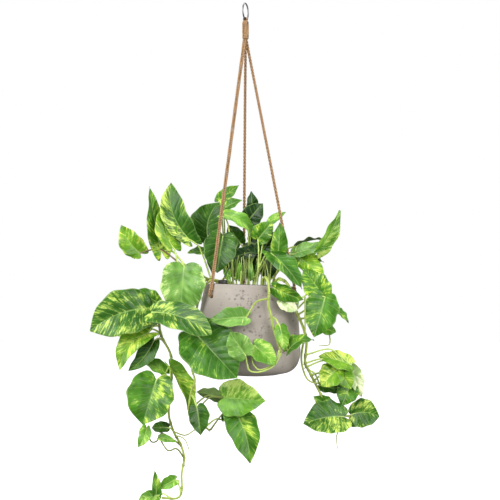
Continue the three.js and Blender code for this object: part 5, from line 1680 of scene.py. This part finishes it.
@dataclass
class Planter:
    """The cast cement planter, with pits in its skin and a hole for each cord, in millimetres."""

    rim: float = 90.0
    mouth: float = 79.5  # the radius of the rim's inside
    height: float = 180.0
    outline: Corners = (  # radius and height of corners up the outside, and then down the inside
        (60, -176.5), (85, -169.5), (98, -158), (103.5, -144), (105, -130), (103, -100), (98.5, -60),
        (94, -28), (90.6, -4),
    )
    inside: Corners = ((79.9, -4), (83, -26), (92, -105), (93, -135), (84, -156), (70, -166))
    floor: float = -166.0
    hole: float = 3.3
    pits: int = 300
    pit_size: Range = (0.7, 1.5)  # the smallest radius of a pit, and how much more it may be
    pit_bands: Point = (-24, -36, -88)  # the heights of the bands
    segments: int = 500
    outer_step: float = 1.4  # between rows of its grid, on the outside and on the inside
    inner_step: float = 6.0

    def profile(self) -> Array:
        """Radius and height from the middle of the base, up the outside, over the rim and down inside."""
        bend = np.linspace(-0.1, math.pi + 0.1, 12)
        middle, half = (self.rim + self.mouth) / 2, (self.rim - self.mouth) / 2
        lip = np.stack([
            middle + half * np.sign(np.cos(bend)) * np.abs(np.cos(bend)) ** 0.4,
            -2.0 + 2.0 * np.maximum(np.sin(bend), 0) ** 0.5,
        ], axis=1)
        foot = np.array([(0.5, -self.height), (20, -self.height), (40, -179.2)])
        outer = smooth_profile(self.outline, self.outer_step)
        inner = smooth_profile(self.inside, self.inner_step)
        floor = np.array([(40, self.floor), (0.5, self.floor)])
        return np.vstack([foot, outer, lip, inner, floor])

    def build(self, cords: Cords) -> None:
        """Builds the planter."""
        profile = self.profile()
        grid = turned(profile, self.segments)
        rim_row = int(np.argmax(profile[:, 1]))
        outer = (np.arange(len(profile)) < rim_row - 2)[:, None]
        facing = unit(grid * [1, 1, 0])
        wobble = 0.22 * unevenness(grid, 22.0, 11) + 0.10 * unevenness(grid, 6.0, 12)
        depth, shade = self.pitted(grid)
        push = np.where(outer, wobble - depth, 0.4 * wobble)
        holes, dark = self.drilled(grid, cords)
        grid = grid + (push - holes * np.where(outer, 1, -1))[..., None] * facing
        # the painted shade of the pits and of the cords' holes
        values = {"pit": np.clip(np.where(outer, shade, 0) + dark, 0, 1)}
        skin = Skin()
        skin.add_solid(in_planter(grid), values)
        place(skin.build("cement_planter_cast", CementFinish().material()), "cement", "cement_planter")

    def pitted(self, grid: Array) -> tuple[Array, Array]:
        """Air pits: a third of them in three bands on the front, the others all over.

        Each pit is a bell of depth, and of painted shade, over the distance from its middle.

        Args:
            grid: Places of the planter's skin.

        Returns:
            How deep the skin is pressed in at each place, and how dark the painted shade in the pits is
            there.
        """
        rng = np.random.default_rng(21)
        radii, heights = np.array(self.outline).T
        depth = np.zeros(grid.shape[:2])
        shade = np.zeros(grid.shape[:2])
        for index in range(self.pits):
            banded = index % 3 == 0
            azimuth = rng.normal(2, 12) if banded else rng.uniform(-180, 180)
            height = rng.choice(self.pit_bands) + rng.normal(0, 7) if banded else rng.uniform(-168, -8)
            radius = np.interp(height, heights, radii)
            middle = np.append(outward(azimuth)[:2] * radius, height)
            size = self.pit_size[0] + self.pit_size[1] * rng.random() ** 2
            flat = (grid - middle) * np.array([1.0, 1.0, rng.uniform(1.0, 1.5)])
            bell = np.exp(-(np.sum(flat**2, axis=-1) / size**2))
            depth = np.maximum(depth, size * 0.55 * bell)
            # painted shade in the pit
            shade = np.maximum(shade, np.clip(bell * 1.6, 0, 1) * rng.uniform(0.45, 0.95))
        return depth, shade

    def drilled(self, grid: Array, cords: Cords) -> tuple[Array, Array]:
        """The cords' holes: both skins are drawn into the wall round each cord, 3.2 mm deep and darkened with
        painted shade.

        Args:
            grid: Places of the planter's skin.
            cords: The cords that go through it.

        Returns:
            How deep the skin is drawn in at each place, and how dark the painted shade in the holes is there.
        """
        soft, deep = 0.8, 3.2
        dark = np.zeros(grid.shape[:2])
        for azimuth in cords.azimuths:
            out = outward(azimuth)
            flat = grid - (grid @ out)[..., None] * out
            away = np.linalg.norm(flat - np.array([0, 0, -cords.hole_depth]), axis=-1)
            inside = np.clip((self.hole + soft - away) / soft, 0, 1) * (grid @ out > 0)
            # painted shade inside the hole
            dark = np.maximum(dark, inside)
        return deep * dark, dark


@dataclass
class NurseryPot:
    """The thin black pot that the plant grows in, with its soil and the clip of its cut-off hanger."""

    lip: float = 76.0
    wall: float = 72.0
    foot: float = 55.0
    thick: float = 1.6
    top: float = 1.0
    bottom: float = -165.7
    soil: float = -7.0
    clip_azimuth: float = -46.0  # in degrees from the front, to the right
    clip_width: float = 20.0
    clip_top: float = 8.0
    soil_base: float = -60.0
    grains: int = 150
    grain_size: Range = (0.7, 2.0)
    perlite: float = 0.45  # the share of the grains that are pale
    segments: int = 144  # columns of the pot's grid, and of the soil's
    soil_segments: int = 240
    dish: float = 4.0  # how much lower the soil is at the wall than in the middle

    def build(self) -> None:
        """Builds the pot, the soil and the clip."""
        plastic = PlasticFinish().material()
        place(self.pot(plastic), "black_plastic", "nursery_pot")
        place(self.mix(SoilFinish().material()), "potting_mix", "potting_soil")
        place(self.clip(plastic), "black_plastic", "hanger_clip")

    def pot(self, plastic: Material) -> Piece:
        """The pot: a thin wall with a rolled lip, a profile of radius and height turned about Z."""
        edge = self.top - 11
        lip_in, wall_in, foot_in = (radius - self.thick for radius in (self.lip, self.wall, self.foot))
        floor = self.bottom + self.thick
        outer = [
            (0.5, self.bottom), (self.foot - 3, self.bottom), (self.foot, self.bottom + 2), (self.wall, edge),
            (self.lip - 0.8, edge + 0.3), (self.lip, edge + 1.4), (self.lip, self.top - 0.8),
            (self.lip - 0.5, self.top),
        ]
        inner = [
            (lip_in + 0.4, self.top), (lip_in, self.top - 0.6), (lip_in, edge + 2.6),
            (wall_in, edge + self.thick), (foot_in, floor), (0.5, floor),
        ]
        corners = np.array(outer + inner)
        spans = np.maximum((np.linalg.norm(np.diff(corners, axis=0), axis=1) / 4).astype(int), 1)
        rows = [
            start + (end - start) * np.linspace(0, 1, count, endpoint=False)[:, None]
            for start, end, count in zip(corners, corners[1:], spans)
        ]
        skin = Skin()
        skin.add_solid(in_planter(turned(np.vstack([*rows, corners[-1:]]), self.segments)))
        return skin.build("nursery_pot_shell", plastic)

    def mix(self, soil: Material) -> Piece:
        """The potting mix: a lumpy disc of crumbs with grains of perlite and bark lying on it."""
        rng = np.random.default_rng(31)
        edge = self.wall - self.thick - 0.4
        reach = np.linspace(1, 0.02, 60) ** 0.9
        top = np.stack([edge * reach, self.soil - self.dish * reach**4], axis=1)
        side = np.array([(0.5, self.soil_base), (edge - 14, self.soil_base), (edge - 8, -38.0)])
        grid = turned(np.vstack([side, top]), self.soil_segments)
        crust = grid[len(side):]
        lift = 1.1 * unevenness(crust, 7.0, 32) + 0.7 * unevenness(crust, 3.0, 33)
        crust[..., 2] += lift * np.clip((edge + 1 - np.linalg.norm(crust[..., :2], axis=-1)) / 4, 0.2, 1)
        skin = Skin()
        skin.add_solid(in_planter(grid), {"grit": 0.0})
        band = np.linspace(0.15, math.pi - 0.15, 5)
        ball = turned(np.stack([np.sin(band), -np.cos(band)], axis=1), 7)
        for _ in range(self.grains):
            angle, radius = rng.uniform(0, 2 * math.pi), edge * 0.94 * math.sqrt(rng.random())
            size = rng.uniform(*self.grain_size, 3)
            height = self.soil - self.dish * (radius / edge) ** 4 + 0.4
            middle = np.array([radius * math.cos(angle), radius * math.sin(angle), height])
            lumpy = ball * size * (1 + 0.25 * rng.uniform(-1, 1, (5, 7, 1)))
            skin.add_solid(in_planter(middle + lumpy), {"grit": float(rng.random() < self.perlite)})
        return skin.build("potting_soil_crumbs", soil)

    def clip(self, plastic: Material) -> Piece:
        """The clip over the lip: a section in radius and height, drawn across it, with a stub of wire."""
        inner = self.lip - self.thick - 1.5
        outer = self.lip + 0.3
        wall, top = self.thick, self.clip_top
        corners = np.array([
            (inner - wall, -4), (inner, -4), (inner, self.top + 0.3), (outer, self.top + 0.3), (outer, -3),
            (outer + wall, -3), (outer + wall, top - 2.5), (outer + wall - 1, top - 0.8), (outer, top),
            (inner, top + 0.4), (inner - wall + 0.6, top), (inner - wall, top - 1),
        ], float)
        out, across = outward(self.clip_azimuth), outward(self.clip_azimuth + 90)
        middle = corners.mean(axis=0)
        place_across = np.array([-1, -0.94, -0.8, -0.4, 0, 0.4, 0.8, 0.94, 1]) * self.clip_width / 2
        shrink = np.array([0.80, 0.95, 1, 1, 1, 1, 1, 0.95, 0.80])
        section = middle + (corners - middle)[None] * shrink[:, None, None]
        grid = section[..., :1] * out + place_across[:, None, None] * across
        grid[..., 2] = section[..., 1]
        skin = Skin()
        skin.add_solid(in_planter(grid), flip=True)
        foot = out * inner + [0, 0, top - 3]
        bend = out * (inner - 3) + [0, 0, top + 8]
        end = out * (inner - 12) + across * 4 + [0, 0, top + 26]
        line, share = Route(in_planter(np.array([foot, bend, end]))).even(1.2)
        skin.add_tube(line, round_ends(share, 0.03), 10)
        return skin.build("hanger_clip_hook", plastic)


@dataclass
class Studio:
    """The camera at the photograph's place, the pale floor and backdrop, and the lights, in metres."""

    lens: float = 86.4  # in millimetres, as the sensor's width
    sensor: float = 36.0
    rise: float = math.atan2(70.0, EYE_DISTANCE)  # looks up by 70 mm over the way to the planter's axis
    floor: float = -1.12
    low_light: float = 0.27  # how bright the room is downwards, and upwards
    high_light: float = 0.64
    light_ends: Range = (-0.4, 0.5)  # the slopes, as sines, between which it grows
    floor_half: float = 9.0  # half the side of the floor
    target: Point = (0.0, 0.0, -0.62)  # what the lamps face
    lamps: tuple[tuple[str, Point, float, float], ...] = (  # name, place, size and power
        ("key_light", (-1.7, -2.1, 1.1), 2.2, 84.0),
        ("fill_light", (2.2, -1.7, -0.3), 2.4, 74.0),
        ("side_light", (-2.6, -0.7, -0.5), 1.6, 34.0),
        ("top_light", (0.2, 0.6, 1.9), 1.4, 30.0),
    )

    def camera(self) -> None:
        """Level with the rim, 2.4 m in front of it, looking up a little."""
        data = bpy.data.cameras.new("camera")
        data.lens, data.sensor_width = self.lens, self.sensor
        data.clip_start, data.clip_end = 0.05, 60.0
        camera = bpy.data.objects.new("camera", data)
        camera.location = (PLANTER_SHIFT * MM, -EYE_DISTANCE * MM, -RIM_DROP * MM)
        camera.rotation_euler = (math.pi / 2 + self.rise, 0, 0)
        bpy.context.scene.collection.objects.link(camera)
        bpy.context.scene.camera = camera

    def build(self) -> None:
        """Adds the even light of the room, the floor and the soft lamps."""
        self.room()
        self.ground()
        for name, at, size, power in self.lamps:
            self.lamp(name, at, size, power)

    def room(self) -> None:
        """Even light from all round, with plain white behind the plant."""
        world = bpy.data.worlds.new("studio")
        world.use_nodes = True
        tree = world.node_tree
        kinds = ("LightPath", "SeparateXYZ", "MapRange", "Mix", "TexCoord")
        rays, sky, glow, strength, coordinates = (tree.nodes.new("ShaderNode" + kind) for kind in kinds)
        background = tree.nodes["Background"]
        background.inputs["Color"].default_value = (1, 1, 1, 1)
        labels = ("From Min", "From Max", "To Min", "To Max")
        for label, value in zip(labels, (*self.light_ends, self.low_light, self.high_light)):
            glow.inputs[label].default_value = value
        strength.inputs["B"].default_value = 1.0
        tree.links.new(coordinates.outputs["Generated"], sky.inputs[0])
        tree.links.new(sky.outputs["Z"], glow.inputs["Value"])
        tree.links.new(rays.outputs["Is Camera Ray"], strength.inputs["Factor"])
        tree.links.new(glow.outputs["Result"], strength.inputs["A"])
        tree.links.new(strength.outputs["Result"], background.inputs["Strength"])
        scene = bpy.context.scene
        scene.world = world
        scene.view_settings.view_transform = "Standard"

    def ground(self) -> None:
        """A plain pale floor."""
        shade = Shader(
            "pale_floor", Base_Color=(0.8, 0.8, 0.8), Roughness=0.9, Specular_IOR_Level=0.1,
            Emission_Color=(1.0, 1.0, 1.0), Emission_Strength=0.70,
        )
        row = np.array([-self.floor_half, self.floor_half]) / MM
        x, y = np.meshgrid(row, row)
        skin = Skin()
        skin.add_grid(np.stack([x, y, 0 * x + self.floor / MM], axis=-1))
        floor = skin.build("floor", shade.finish())
        floor.visible_diffuse = False
        floor.visible_glossy = False

    def lamp(self, name: str, at: Point, size: float, power: float) -> None:
        """A square soft lamp that faces the middle of the plant."""
        data = bpy.data.lights.new(name, "AREA")
        data.size, data.energy = size, power
        lamp = bpy.data.objects.new(name, data)
        lamp.location = at
        toward = mathutils.Vector(self.target) - mathutils.Vector(at)
        lamp.rotation_euler = toward.to_track_quat("-Z", "Y").to_euler()
        bpy.context.scene.collection.objects.link(lamp)


def main() -> None:
    """Builds the camera, the cords, the hanger, the planter, the nursery pot, the plant and the studio."""
    logging.basicConfig(level=logging.INFO, format="%(message)s")
    studio, hanger, cords, planter = Studio(), Hanger(), Cords(), Planter()
    studio.camera()
    cords.build(hanger, planter)
    hanger.build()
    planter.build(cords)
    NurseryPot().build()
    Plant(VINES).build()
    studio.build()


if __name__ == "__main__":
    main()
